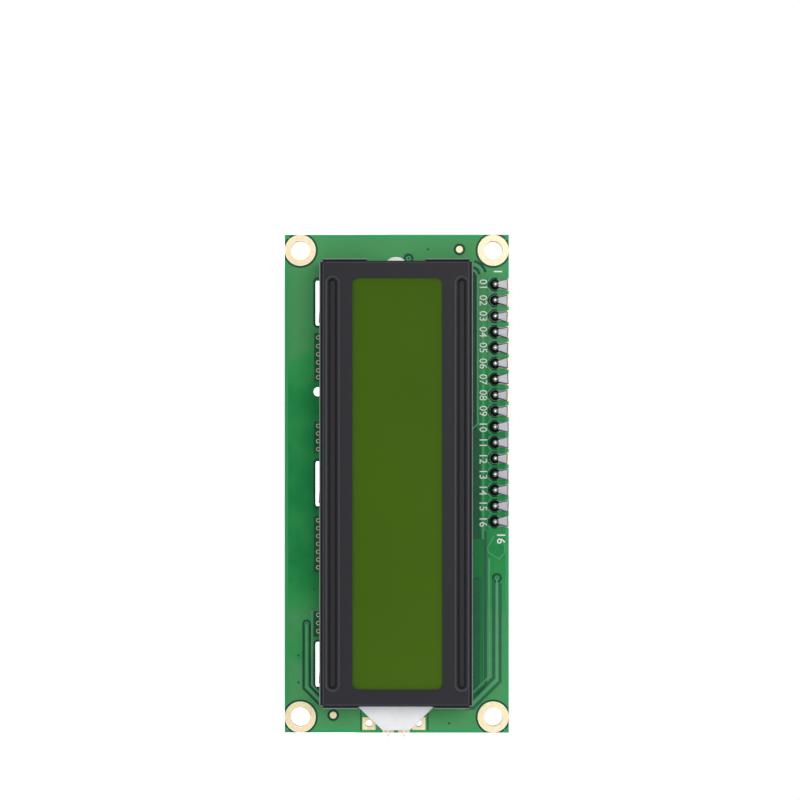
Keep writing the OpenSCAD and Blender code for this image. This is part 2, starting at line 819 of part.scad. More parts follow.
module adapter_pads() color(pad_gold) stand_up() {
    translate([0, 0, adapter_rear - pad_t]) linear_extrude(pad_t) at_header_pins() difference() {
        circle(r = header_pad_w / 2);
        circle(d = pin_hole_d, $fn = 24);
    }
    on_adapter() linear_extrude(pad_t) {
        at_resistors() smd_pads();
        at_capacitor() smd_pads();
        at_power_led() smd_pads();
        at_chip_leads() lead_pad(lead_out);
        at_transistor_leads() lead_pad(sot_lead_out);
        for (x = link_x, side = [-1, 1])
            translate([x, link_y + side * link_pad_y]) square(link_pad, center = true);
    }
}

// Chips and small parts on the adapter board

module expander_chip() color(plastic_black) stand_up() on_adapter()
    translate([chip_at[0], chip_at[1], chip_stand]) difference() {
        rotate([90, 0, 0]) linear_extrude(chip_len, center = true) polygon([
            [-chip_wid / 2 + chip_draft, 0],
            [chip_wid / 2 - chip_draft, 0],
            [chip_wid / 2, chip_h / 2],
            [chip_wid / 2 - chip_draft, chip_h],
            [-chip_wid / 2 + chip_draft, chip_h],
            [-chip_wid / 2, chip_h / 2]]);
        translate([dimple_inset - chip_wid / 2, chip_len / 2 - dimple_inset, chip_h - dimple_depth])
            cylinder(d = dimple_d, h = dimple_depth + over, $fn = 24);
    }

// A gull-wing lead from a body side at x = 0 down to its pad, centred in y
module gull_lead(out, knee, rise, slant) translate([0, lead_w / 2, pad_t]) rotate([90, 0, 0])
    linear_extrude(lead_w) polygon([
        [0, rise - lead_t / 2],
        [knee, rise - lead_t / 2],
        [knee + slant, 0],
        [out, 0],
        [out, lead_t],
        [knee + slant + lead_t, lead_t],
        [knee + lead_t, rise + lead_t / 2],
        [0, rise + lead_t / 2]]);

module expander_leads() color(pin_silver) stand_up() on_adapter()
    at_chip_leads() gull_lead(lead_out, lead_knee, chip_stand + chip_h / 2, lead_slant);

module adapter_resistors() color(plastic_black) stand_up() on_adapter()
    at_resistors() smd_body();

module adapter_resistor_ends() color(solder_grey) stand_up() on_adapter()
    at_resistors() smd_ends();

module adapter_capacitor() color("#a98a63") stand_up() on_adapter()
    at_capacitor() smd_body(capacitor_h);

module adapter_capacitor_ends() color(solder_grey) stand_up() on_adapter()
    at_capacitor() smd_ends(capacitor_h);

module power_led_base() color("#e8e6da") stand_up() on_adapter()
    at_power_led() smd_body(led_base_h);

module power_led_lens() color("#f4efe0") stand_up() on_adapter()
    at_power_led() translate([0, 0, pad_t + led_base_h])
        slab(led_lens_len, led_lens_wid, led_h - led_base_h);

module power_led_ends() color(solder_grey) stand_up() on_adapter()
    at_power_led() smd_ends(led_base_h);

module transistor_body() color(plastic_black) stand_up() on_adapter()
    translate(transistor_at) translate([0, 0, sot_stand]) slab(sot_len, sot_wid, sot_h);

module transistor_leads() color(pin_silver) stand_up() on_adapter()
    at_transistor_leads() gull_lead(sot_lead_out, sot_lead_knee, sot_stand + sot_h / 2, sot_lead_slant);

// Trimmer: a square body with a well, and a rotor that turns in it

module trimmer_body() color("#2f6cc0") stand_up() on_adapter()
    translate(trimmer_at) difference() {
        slab(trimmer_side, trimmer_side, trimmer_h);
        translate([0, 0, trimmer_h - well_depth])
            cylinder(d = rotor_d + 2 * rotor_gap, h = well_depth + over);
        translate([0, 0, trimmer_h - well_depth - spindle_len - rotor_floor_gap])
            cylinder(d = spindle_d + 2 * rotor_gap, h = spindle_len + well_depth);
    }

module trimmer_rotor() color("#c9ccd0") stand_up() on_adapter()
    translate([trimmer_at[0], trimmer_at[1], trimmer_h - well_depth]) difference() {
        rotor_top = well_depth - rotor_top_gap;
        rotate_extrude() polygon([
            [0, -spindle_len],
            [spindle_d / 2, -spindle_len],
            [spindle_d / 2, rotor_floor_gap],
            [rotor_d / 2, rotor_floor_gap],
            [rotor_d / 2, rotor_top - rotor_bevel],
            [rotor_d / 2 - rotor_bevel, rotor_top],
            [0, rotor_top]]);
        for (turn = [0, 90])
            rotate([0, 0, turn]) translate([0, 0, rotor_top - cross_depth])
                slab(rotor_d + over, cross_w, cross_depth + over);
    }

module trimmer_legs() color(pin_silver) stand_up() on_adapter()
    at_trimmer_legs() translate([0, 0, -adapter_t - tail_len])
        cylinder(d = trimmer_leg_d, h = adapter_t + tail_len, $fn = 24);

// Right-angle headers: blocks of chamfered cells, and pins that bend above them

module block_cell() difference() {
    linear_extrude(block_h) polygon([
        [-block_wid / 2, block_chamfer - pitch / 2],
        [block_chamfer - block_wid / 2, -pitch / 2],
        [block_wid / 2 - block_chamfer, -pitch / 2],
        [block_wid / 2, block_chamfer - pitch / 2],
        [block_wid / 2, pitch / 2 - block_chamfer],
        [block_wid / 2 - block_chamfer, pitch / 2],
        [block_chamfer - block_wid / 2, pitch / 2],
        [-block_wid / 2, pitch / 2 - block_chamfer]]);
    translate([0, 0, -over]) pin_hole(block_h + 2 * over);
}

// The pin stands in its block, bends over at run_h and runs out along x
module bent_pin(run_len) {
    translate([0, 0, -adapter_t - tail_len])
        slab(pin_side, pin_side, adapter_t + tail_len + run_h - bend_mid);
    translate([bend_mid, 0, run_h - bend_mid]) rotate([90, 0, 0]) rotate([0, 0, 90])
        rotate_extrude(angle = 90) translate([bend_mid, 0]) square(pin_side, center = true);
    translate([bend_mid, 0, run_h]) pin_bar(run_len - bend_mid);
}

module serial_header_block() color(plastic_black) stand_up() on_adapter()
    at_serial_pins() block_cell();

module serial_header_pins() color(pin_silver) stand_up() on_adapter()
    at_serial_pins() mirror([1, 0, 0]) bent_pin(block_inset + serial_reach);

module jumper_header_block() color(plastic_black) stand_up() on_adapter()
    at_jumper_pins() block_cell();

module jumper_header_pins() color(pin_silver) stand_up() on_adapter()
    at_jumper_pins() bent_pin(block_inset + jumper_reach);

// Solder on the side of the adapter that faces the LCD board
module underside_solder() color(solder_grey) stand_up() under_adapter() translate([0, 0, -pad_t]) {
    at_serial_pins() solder_cone(solder_r, tail_solder_h);
    at_jumper_pins() solder_cone(solder_r, tail_solder_h);
    at_trimmer_legs() difference() {
        translate([0, 0, pad_t]) cylinder(r1 = solder_r, r2 = solder_top_r, h = tail_solder_h);
        cylinder(d = trimmer_leg_d, h = tail_solder_h + over, $fn = 24);
    }
}

// Jumper cap: a sleeve over both pins, with a window across its closed end

module in_cap() translate([0, jumper_y, run_h]) children();

module cap_window() {
    window_round = cap_end - cap_window_len + cap_window_w / 2;
    translate([window_round, 0]) circle(d = cap_window_w);
    translate([window_round, -cap_window_w / 2]) square([cap_window_len, cap_window_w]);
}

module contact_outline() {
    for (side = [-1, 1])
        translate([cap_start + clip_inset, side * pitch / 2 - clip_w / 2])
            square([band_end - cap_start - clip_inset, clip_w]);
    translate([band_end - band_len, -pitch / 2 - clip_w / 2])
        square([band_len, pitch + clip_w]);
}

module jumper_cap() color(plastic_black) stand_up() on_adapter() in_cap() difference() {
    translate([cap_start, -cap_wid / 2, -cap_t / 2]) cube([cap_len, cap_wid, cap_t]);
    linear_extrude(clip_h, center = true) {
        contact_outline();
        for (side = [-1, 1])
            translate([cap_start - over, side * pitch / 2 - clip_w / 2])
                square([over + clip_inset + over, clip_w]);
    }
    linear_extrude(cap_t + 2 * over, center = true) cap_window();
    for (side = [-1, 1]) {
        translate([cap_groove_at, side * cap_wid / 2 - cap_groove_side, -cap_t])
            cube([cap_groove_w, 2 * cap_groove_side, 2 * cap_t]);
        translate([cap_groove_at, -cap_wid, side * cap_t / 2 - cap_groove_face])
            cube([cap_groove_w, 2 * cap_wid, 2 * cap_groove_face]);
    }
}

// Two clips that grip the pins from both sides, joined by a band across the window
module jumper_contact() color(pin_silver) stand_up() on_adapter() in_cap() difference() {
    linear_extrude(clip_h, center = true) contact_outline();
    for (side = [-1, 1])
        translate([cap_start, side * pitch / 2 - clip_w, -clip_h / 2 + clip_t])
            cube([band_end - band_len - cap_start, 2 * clip_w, clip_h - 2 * clip_t]);
}

lcd_board();
lcd_board_pads();
bezel();
front_polariser();
upper_glass();
lower_glass();
rear_polariser();
diffuser_film();
contact_strip_upper();
contact_strip_lower();
light_guide();
backlight_tray();
backlight_lamp();
backlight_legs();
backlight_solder();
driver_blob_left();
driver_blob_right();
board_resistors();
board_resistor_ends();
link_solder();
header_spacer();
header_pins();
header_solder_front();
header_solder_rear();
adapter_board();
adapter_pads();
expander_chip();
expander_leads();
trimmer_body();
trimmer_rotor();
trimmer_legs();
serial_header_block();
serial_header_pins();
jumper_header_block();
jumper_header_pins();
underside_solder();
jumper_cap();
jumper_contact();
power_led_base();
power_led_lens();
power_led_ends();
adapter_resistors();
adapter_resistor_ends();
adapter_capacitor();
adapter_capacitor_ends();
transistor_body();
transistor_leads();
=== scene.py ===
# Character display module with a serial adapter board on its back, in metres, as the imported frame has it.
# New pieces are modelled lying flat in millimetres (x along the board, y up its lettering, z out of the
# display, the board's front at z = 0), then stood up and brought to metres by stand_up().
import math
import random

import bpy
from mathutils import Matrix, Vector, noise


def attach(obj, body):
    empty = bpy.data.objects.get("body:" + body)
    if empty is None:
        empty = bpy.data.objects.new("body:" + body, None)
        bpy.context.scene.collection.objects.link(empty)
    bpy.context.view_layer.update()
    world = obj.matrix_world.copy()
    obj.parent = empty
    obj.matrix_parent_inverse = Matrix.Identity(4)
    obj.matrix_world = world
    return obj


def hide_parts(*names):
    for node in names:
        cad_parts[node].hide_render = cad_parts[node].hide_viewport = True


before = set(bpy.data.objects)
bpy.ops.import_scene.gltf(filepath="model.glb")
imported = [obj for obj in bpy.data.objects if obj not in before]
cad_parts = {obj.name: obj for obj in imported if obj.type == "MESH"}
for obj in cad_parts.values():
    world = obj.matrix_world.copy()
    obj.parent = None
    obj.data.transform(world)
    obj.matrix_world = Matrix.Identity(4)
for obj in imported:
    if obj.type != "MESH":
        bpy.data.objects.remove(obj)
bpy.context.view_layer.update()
random.seed(7)

# Measures in mm, as in the CAD source
MM = 0.001
SIDES = (-1, 1)
HALF_LEN, HALF_WID = 40.0, 18.0             # display board
FRONT, BACK = 0.0, -1.6                     # its two faces
HOLE_X, HOLE_Y = 37.5, 15.5
HOLES = [(x, y) for x in (-HOLE_X, HOLE_X) for y in (-HOLE_Y, HOLE_Y)]
FIDUCIALS = [(-37.65, 10.08), (37.2, -10.2)]
SLOTS_X = (-29.1, 0.0, 29.1)
PITCH, FIRST_PIN, PIN_ROW = 2.54, -32.0, 15.8
PINS = [FIRST_PIN + PITCH * n for n in range(16)]
BEZEL_Y, BEZEL_FACE, SHEET = -0.1, 7.5, 0.4
DRIVERS = {"left": (-12.2, -1.4), "right": (13.25, 0.55)}
DRIVER_R, DRIVER_H = 5.35, 1.5
ADAPTER_BACK = -5.79
TRIMMER_TOP = ADAPTER_BACK - 4.8
TRIMMER_DOT = (-22.2, 7.6)


# Modelling helpers

def drop_picks():
    if bpy.context.object and bpy.context.object.mode != "OBJECT":
        bpy.ops.object.mode_set(mode="OBJECT")
    bpy.ops.object.select_all(action="DESELECT")


def pick(piece):
    drop_picks()
    piece.select_set(True)
    bpy.context.view_layer.objects.active = piece
    return piece


def added(name, data):
    piece = bpy.data.objects.new(name, data)
    bpy.context.collection.objects.link(piece)
    return piece


def named(name):
    piece = bpy.context.object
    piece.name = piece.data.name = name
    return piece


def settled(name):
    """The active piece, named, with its place, turn and size worked into its mesh."""
    bpy.ops.object.transform_apply()
    return named(name)


def box(name, low, high):
    drop_picks()
    middle = [(a + b) / 2 for a, b in zip(low, high)]
    bpy.ops.mesh.primitive_cube_add(size=1, location=middle, scale=[b - a for a, b in zip(low, high)])
    return settled(name)


def rod(name, middle, radius, length, sides=32):
    drop_picks()
    bpy.ops.mesh.primitive_cylinder_add(vertices=sides, radius=radius, depth=length, location=middle)
    return settled(name)


def modify(piece, kind, **settings):
    pick(piece)
    step = piece.modifiers.new(kind.lower(), kind)
    for key, value in settings.items():
        setattr(step, key, value)
    bpy.ops.object.modifier_apply(modifier=step.name)
    return piece


def combine(piece, other, operation):
    modify(piece, "BOOLEAN", object=other, operation=operation, solver="EXACT")
    bpy.data.objects.remove(other)


def rounded(piece, width, segments=2, angle=35):
    return modify(piece, "BEVEL", width=width, segments=segments, limit_method="ANGLE",
                  angle_limit=math.radians(angle), harden_normals=False)


def smooth(piece, angle=35):
    """Smooth over its curves, with the flats kept flat by the weight of their size."""
    pick(piece)
    bpy.ops.object.shade_smooth_by_angle(angle=math.radians(angle))
    return modify(piece, "WEIGHTED_NORMAL", weight=100, keep_sharp=True)


def in_edit(piece, *steps, whole=True):
    """Runs edit-mode steps, each an operator and its settings, on the whole mesh or on what is picked."""
    pick(piece)
    bpy.ops.object.mode_set(mode="EDIT")
    if whole:
        bpy.ops.mesh.select_all(action="SELECT")
    for operator, settings in steps:
        operator(**settings)
    bpy.ops.object.mode_set(mode="OBJECT")
    return piece


PICK_ALL = (bpy.ops.mesh.select_all, {"action": "SELECT"})
FACE_OUT = (bpy.ops.mesh.normals_make_consistent, {"inside": False})


def pulled(z):
    return bpy.ops.mesh.extrude_region_move, {"TRANSFORM_OT_translate": {"value": (0, 0, z)}}


def stepped_in(thickness, depth):
    return bpy.ops.mesh.inset, {"thickness": thickness, "depth": depth}


def sliced(piece, axis, start, length, parts):
    """Cuts a piece across into equal parts, so that it can bend."""
    along = Vector()
    along[axis] = 1
    steps = []
    for n in range(1, parts):
        cut = {"plane_co": along * (start + length * n / parts), "plane_no": along}
        steps += [(bpy.ops.mesh.bisect, cut), PICK_ALL]
    return in_edit(piece, *steps)


def joined(name, pieces):
    drop_picks()
    for piece in pieces:
        piece.select_set(True)
    bpy.context.view_layer.objects.active = pieces[0]
    if len(pieces) > 1:
        bpy.ops.object.join()
    return named(name)


def copy_of(piece, name, place=(0, 0, 0), turn=0.0, scale=(1, 1, 1)):
    twin = added(name, piece.data.copy())
    twin.data.transform(Matrix.LocRotScale(Vector(place), Matrix.Rotation(turn, 3, "Z"), Vector(scale)))
    return twin


def merged_copy(node, name, *steps):
    """A copy of a CAD node in mm, with its doubles merged and its flats made whole."""
    piece = added(name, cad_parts[node].data.copy())
    piece.data.transform(Matrix.Scale(1 / MM, 4))
    return in_edit(piece, (bpy.ops.mesh.remove_doubles, {"threshold": 0.002}),
                   (bpy.ops.mesh.dissolve_limited, {"angle_limit": math.radians(1)}), *steps)


def stand_up(piece):
    pick(piece)
    piece.rotation_euler = (math.radians(90), 0, 0)
    piece.scale = (MM, MM, MM)
    bpy.ops.object.transform_apply()
    return piece


def fit(piece, slot, *nodes, look=None, body="module"):
    """Gives a finished piece its material, the slot's unless a look is given, and its body, and hides the CAD
    nodes it stands for.
    """
    piece.data.materials.clear()
    piece.data.materials.append(look or SLOT_LOOKS[slot])
    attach(piece, body)
    if nodes:
        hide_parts(*nodes)
    return piece


def softened(node, name, width, slot, body="module"):
    """A CAD node with its edges broken."""
    piece = smooth(rounded(merged_copy(node, name), width))
    piece.data.transform(Matrix.Scale(MM, 4))
    return fit(piece, slot, node, body=body)


# Lines on a board: each is (closed, points)

def run(*points):
    return False, points


def frame_line(x0, y0, x1, y1):
    return True, [(x0, y0), (x1, y0), (x1, y1), (x0, y1)]


def polar(x, y, radius, turn):
    return x + radius * math.cos(turn), y + radius * math.sin(turn)


def ring(x, y, radius, steps=28):
    return True, [polar(x, y, radius, 2 * math.pi * n / steps) for n in range(steps)]


def arc(x, y, radius, start, end, steps=14):
    return False, [polar(x, y, radius, math.radians(start + (end - start) * n / steps)) for n in range(steps + 1)]


def corner_arc(x, y, radius=2.62, inside=0.15):
    """The part of a mounting hole's clearance ring that lies on the board."""
    side_x, side_y = math.copysign(1, x), math.copysign(1, y)
    first = math.atan2(side_y, side_x)
    points = [polar(x, y, radius, math.radians(5 * n) + first) for n in range(72)]
    return False, [(px, py) for px, py in points
                   if px * side_x < HALF_LEN - inside and py * side_y < HALF_WID - inside]


def around(middle, *offsets, closed=False):
    """A line through points that are given from a piece's middle."""
    return closed, [(middle[0] + dx, middle[1] + dy) for dx, dy in offsets]


def bracket(open_x, back_x, y0, y1):
    return run((open_x, y0), (back_x, y0), (back_x, y1), (open_x, y1))


def strips(name, paths, width, rise, level):
    """Low domed strips on a board's face: poly curves with a round section, flattened to their height."""
    drop_picks()
    curve = bpy.data.curves.new(name, "CURVE")
    curve.dimensions = "3D"
    curve.bevel_depth = width / 2
    curve.bevel_resolution = 1
    curve.use_fill_caps = True
    for closed, points in paths:
        line = curve.splines.new("POLY")
        line.points.add(len(points) - 1)
        for point, (x, y) in zip(line.points, points):
            point.co = (x, y, 0, 1)
        line.use_cyclic_u = closed
    pick(added(name, curve))
    bpy.ops.object.convert(target="MESH")
    piece = bpy.context.object
    piece.scale = (1, 1, rise / (width / 2))
    piece.location = (0, 0, level)
    return smooth(settled(name), 60)


def numbers(name, marks, size, level, back=False, weight=0.02):
    """Plain numbers as thin raised ink. marks are (text, x, y, turn in degrees)."""
    made = []
    for text, x, y, turn in marks:
        drop_picks()
        bpy.ops.object.text_add()
        figure = bpy.context.object.data
        figure.body = text
        figure.size = size
        figure.align_x = figure.align_y = "CENTER"
        figure.extrude = 0.02
        figure.offset = weight
        figure.resolution_u = 3
        bpy.ops.object.convert(target="MESH")
        figure = bpy.context.object
        figure.rotation_euler = (0, math.pi if back else 0, math.radians(turn))
        figure.location = (x, y, level)
        made.append(settled("number"))
    return stand_up(joined(name, made))


# Material helpers

def linear(code):
    """An sRGB hex colour as linear light."""
    parts = [int(code[n:n + 2], 16) / 255 for n in (1, 3, 5)]
    return [c / 12.92 if c <= 0.04045 else ((c + 0.055) / 1.055) ** 2.4 for c in parts] + [1.0]


def add(tree, kind, links=None, values=None, **settings):
    """One node, with its settings, its constant input values and its links from other nodes' outputs."""
    node = tree.nodes.new("ShaderNode" + kind)
    for key, value in settings.items():
        setattr(node, key, value)
    for key, value in (values or {}).items():
        node.inputs[key].default_value = value
    for key, output in (links or {}).items():
        tree.links.new(output, node.inputs[key])
    return node


def finish(name, **values):
    """A new material with its surface shader and object coordinates in metres."""
    material = bpy.data.materials.new(name)
    material.use_nodes = True
    tree = material.node_tree
    tree.nodes.clear()
    surface = add(tree, "BsdfPrincipled", values={key.replace("_", " "): value for key, value in values.items()})
    add(tree, "OutputMaterial", {"Surface": surface.outputs["BSDF"]})
    return material, tree, surface, add(tree, "TexCoord").outputs["Object"]


def wire(tree, surface, colour, rough=None):
    tree.links.new(colour, surface.inputs["Base Color"])
    if rough is not None:
        tree.links.new(rough, surface.inputs["Roughness"])


def speckle(tree, place, size_mm, detail=2.0):
    """Noise whose blobs are about size_mm across."""
    return add(tree, "TexNoise", {"Vector": place}, {"Scale": 1 / (size_mm * MM), "Detail": detail}).outputs["Fac"]


def ramp(tree, value, *stops):
    node = add(tree, "ValToRGB", {"Fac": value})
    marks = node.color_ramp.elements
    while len(marks) < len(stops):
        marks.new(0.5)
    for mark, (position, colour) in zip(marks, stops):
        mark.position = position
        mark.color = linear(colour) if isinstance(colour, str) else (colour, colour, colour, 1)
    return node.outputs["Color"]


def mottled(tree, cloud, low, high):
    return ramp(tree, cloud, (0.3, low), (0.7, high))


def relief(tree, surface, place, size_mm, detail, depth_mm):
    bump = add(tree, "Bump", {"Height": speckle(tree, place, size_mm, detail)}, {"Distance": depth_mm * MM})
    tree.links.new(bump.outputs["Normal"], surface.inputs["Normal"])


def facing(tree):
    """Which way a face looks: -1 to the front, 1 to the back, 0 at a cut edge."""
    normal = add(tree, "NewGeometry").outputs["True Normal"]
    return add(tree, "SeparateXYZ", {"Vector": normal}).outputs["Y"]


def flat_face(tree):
    """1 on a board's two faces, 0 on its cut edges and hole walls."""
    either = add(tree, "Math", {0: facing(tree)}, operation="ABSOLUTE").outputs[0]
    return add(tree, "Math", {0: either}, {1: 0.5}, operation="GREATER_THAN").outputs[0]


def plain_finish(name, dark, light, size_mm, rough, depth_mm=0.004, spread=0.05, **values):
    """A finish of two near colours, mottled, with roughness that varies and a fine relief."""
    material, tree, surface, place = finish(name, **values)
    cloud = speckle(tree, place, size_mm, 4)
    wire(tree, surface, mottled(tree, cloud, dark, light),
         mottled(tree, cloud, rough - spread, rough + spread))
    relief(tree, surface, place, size_mm / 6, 3, depth_mm)
    return material


# Materials

GOLD_DARK, GOLD_LIGHT = "#D8C69C", "#E4D5B2"


def green_board():
    """Display board: green solder mask over glass-fibre laminate. Flat faces are glossy green, made paler towards
    the ends by a painted sheen of reflected light, and paler at the border, where there is no copper; cut edges
    show the matt yellow-green laminate, and the walls of the mounting holes are gold like their rings."""
    material, tree, surface, place = finish("green_solder_mask", IOR=1.5, Specular_IOR_Level=0.11)
    spot = add(tree, "SeparateXYZ", {"Vector": place})
    out_x = add(tree, "Math", {0: spot.outputs["X"]}, operation="ABSOLUTE").outputs[0]
    out_z = add(tree, "Math", {0: spot.outputs["Z"]}, operation="ABSOLUTE").outputs[0]
    # painted sheen: from 12 mm out, the mask is made paler towards both ends, on front and back alike
    painted_end_sheen = add(tree, "MapRange", {"Value": out_x},
                 {"From Min": 12 * MM, "From Max": HALF_LEN * MM}).outputs["Result"]
    uneven = add(tree, "Math", {0: painted_end_sheen, 1: speckle(tree, place, 6, 3)}, operation="ADD").outputs[0]
    front = ramp(tree, uneven, (0.38, "#00823F"), (0.8, "#2C964D"), (1.0, "#47965A"))
    back = ramp(tree, uneven, (0.35, "#127A52"), (0.9, "#1B8A5E"), (1.0, "#2A8F66"))
    is_back = add(tree, "Math", {0: facing(tree)}, {1: 0.5}, operation="GREATER_THAN").outputs[0]
    faces = add(tree, "Mix", {"Factor": is_back, 6: front, 7: back}, data_type="RGBA").outputs[2]

    border = 0.55
    past_end = add(tree, "Math", {0: out_x}, {1: (HALF_LEN - border) * MM}, operation="GREATER_THAN").outputs[0]
    past_side = add(tree, "Math", {0: out_z}, {1: (HALF_WID - border) * MM}, operation="GREATER_THAN").outputs[0]
    past = add(tree, "Math", {0: past_end, 1: past_side}, operation="MAXIMUM").outputs[0]
    faces = add(tree, "Mix", {"Factor": past, 6: faces}, {7: linear("#2F9D5C")}, data_type="RGBA").outputs[2]

    # the bands of glass cloth lie 0.4 mm apart: the node repeats every 0.314 / Scale
    layers = add(tree, "TexWave", {"Vector": place}, {"Scale": 1 / (1.26 * MM), "Distortion": 1.5, "Detail": 2.0},
                 wave_type="BANDS", bands_direction="Y").outputs["Fac"]
    laminate = ramp(tree, layers, (0.2, "#8C9A5C"), (0.8, "#A9AE74"))
    # folded about both middle lines, the four mounting holes are one
    folded = add(tree, "CombineXYZ", {"X": out_x, "Z": out_z}).outputs["Vector"]
    hole = (HOLE_X * MM, 0.0, HOLE_Y * MM)
    off = add(tree, "VectorMath", {0: folded}, {1: hole}, operation="DISTANCE").outputs["Value"]
    in_hole = add(tree, "Math", {0: off}, {1: 1.8 * MM}, operation="LESS_THAN").outputs[0]
    walls = add(tree, "Mix", {"Factor": in_hole, 6: laminate}, {7: linear(GOLD_DARK)}, data_type="RGBA").outputs[2]

    is_face = flat_face(tree)
    whole = add(tree, "Mix", {"Factor": is_face, 6: walls, 7: faces}, data_type="RGBA").outputs[2]
    wire(tree, surface, whole, ramp(tree, is_face, (0.0, 0.75), (1.0, 0.38)))
    relief(tree, surface, place, 0.5, 3, 0.004)
    return material


def black_board():
    """Adapter board: black solder mask over laminate; near black, glossy, grey-brown at the cut edges."""
    material, tree, surface, place = finish("black_solder_mask", IOR=1.5, Specular_IOR_Level=0.2)
    is_face = flat_face(tree)
    face = mottled(tree, speckle(tree, place, 4, 4), "#15151A", "#1D1D23")
    edge = mottled(tree, speckle(tree, place, 0.6, 4), "#5A5648", "#746F5E")
    whole = add(tree, "Mix", {"Factor": is_face, 6: edge, 7: face}, data_type="RGBA").outputs[2]
    wire(tree, surface, whole, ramp(tree, is_face, (0.0, 0.8), (1.0, 0.36)))
    relief(tree, surface, place, 0.5, 3, 0.004)
    return material


def bezel_enamel():
    """Bezel: sheet steel, stamped and folded, with baked black enamel; dull charcoal with a faint fine grain, and
    light and
    shade painted by tilt: painted shade near black on its pressed slopes and a painted highlight as a thin pale
    line round its folds."""
    material, tree, surface, place = finish("baked_black_enamel_on_steel", IOR=1.5, Specular_IOR_Level=0.13)
    tilt = add(tree, "Math", {0: facing(tree)}, {1: -1.0}, operation="MULTIPLY").outputs[0]
    # painted light and shade by tilt: side walls a little lighter than the face, a painted highlight as a pale
    # line round the folds, painted shade near black on steep slopes and long bends, and a painted highlight on the
    # beads' shallow rims
    fold = ramp(tree, tilt, (0.0, "#29292E"), (0.06, "#29292E"), (0.12, "#8A9792"), (0.5, "#8A9792"),
                (0.66, "#17171A"), (0.93, "#131316"), (0.97, "#404248"), (0.99, "#404248"), (0.997, "#26262B"))
    cloud = speckle(tree, place, 1.2, 5)
    grain = mottled(tree, cloud, "#E4E4E6", "#FFFFFF")
    painted_light_on_grain = add(tree, "Mix", {"Factor": cloud, 6: fold, 7: grain}, data_type="RGBA", blend_type="MULTIPLY")
    wire(tree, surface, painted_light_on_grain.outputs[2], mottled(tree, cloud, 0.34, 0.46))
    relief(tree, surface, place, 0.2, 3, 0.004)
    return material


def display_film():
    """Display: yellow-green twisted liquid crystal under a stretched polariser film; one even olive green, glossy
    and deep."""
    material, tree, surface, place = finish("yellow_green_display_under_polariser", IOR=1.49, Roughness=0.2,
                                            Specular_IOR_Level=0.08)
    wire(tree, surface, mottled(tree, speckle(tree, place, 22, 2), "#3B5A00", "#3F5E01"))
    relief(tree, surface, place, 3, 2, 0.002)
    return material


def driver_epoxy():
    """Driver chips: black epoxy poured over the chip, glossy with slow unevenness."""
    material, tree, surface, place = finish("poured_black_epoxy", IOR=1.55, Coat_Weight=0.3, Coat_Roughness=0.15)
    wire(tree, surface, mottled(tree, speckle(tree, place, 2, 4), "#16161A", "#202126"),
         mottled(tree, speckle(tree, place, 1, 3), 0.3, 0.45))
    relief(tree, surface, place, 1.4, 4, 0.05)
    return material


def board_pads():
    """The display board's pads: gold as on immersion_gold, but the header's pads in front are covered by a thin
    grey skin of solder."""
    material, tree, surface, place = finish("immersion_gold_with_tinned_header_pads", Metallic=0.6)
    spot = add(tree, "SeparateXYZ", {"Vector": place}).outputs
    # a strip over the row of pads, in mm: its lower and upper edge, its two ends, and the board's front alone
    limits = (("Z", "GREATER_THAN", 14.6), ("Z", "LESS_THAN", 17.72), ("X", "GREATER_THAN", -33.3),
              ("X", "LESS_THAN", 7.5), ("Y", "LESS_THAN", 0.01))
    inside = [add(tree, "Math", {0: spot[axis]}, {1: limit * MM}, operation=operation).outputs[0]
              for axis, operation, limit in limits]
    tinned = inside[0]
    for within in inside[1:]:
        tinned = add(tree, "Math", {0: tinned, 1: within}, operation="MULTIPLY").outputs[0]
    cloud = speckle(tree, place, 0.5, 4)
    gold = mottled(tree, cloud, GOLD_DARK, GOLD_LIGHT)
    tin = mottled(tree, cloud, "#6E7276", "#7E8286")
    coat = add(tree, "Mix", {"Factor": tinned, 6: gold, 7: tin}, data_type="RGBA").outputs[2]
    wire(tree, surface, coat, mottled(tree, cloud, 0.38, 0.46))
    relief(tree, surface, place, 0.5, 4, 0.004)
    return material


def header_solder():
    """The header's joints: the same tin alloy, with a painted reflection that darkens their steep sides as if they
    mirrored the dark pins and mask around them.
    """
    material = plain_finish("tin_alloy_solder_in_the_joints", "#85878B", "#939599", 0.5, 0.4, 0.003, 0.06,
                            Metallic=0.72)
    tree = material.node_tree
    level = add(tree, "Math", {0: facing(tree)}, operation="ABSOLUTE").outputs[0]
    plain = tree.nodes["Color Ramp"].outputs["Color"]
    # painted reflection: the steeper a face of the joint, the darker its colour
    painted_dark_reflection = ramp(tree, level, (0.3, "#3C3E42"), (0.8, "#4C4E52"), (0.95, "#FFFFFF"))
    shade = add(tree, "Mix", {6: plain, 7: painted_dark_reflection}, {"Factor": 1.0}, data_type="RGBA", blend_type="MULTIPLY")
    wire(tree, tree.nodes["Principled BSDF"], shade.outputs[2])
    return material


def mask_strip(name, dark, light, size_mm=3, rough=0.38):
    """The green mask in a thin strip: printed resist, paler over a raised track and darker over bare laminate."""
    return plain_finish(name, dark, light, size_mm, rough, 0.003, IOR=1.5, Specular_IOR_Level=0.15)


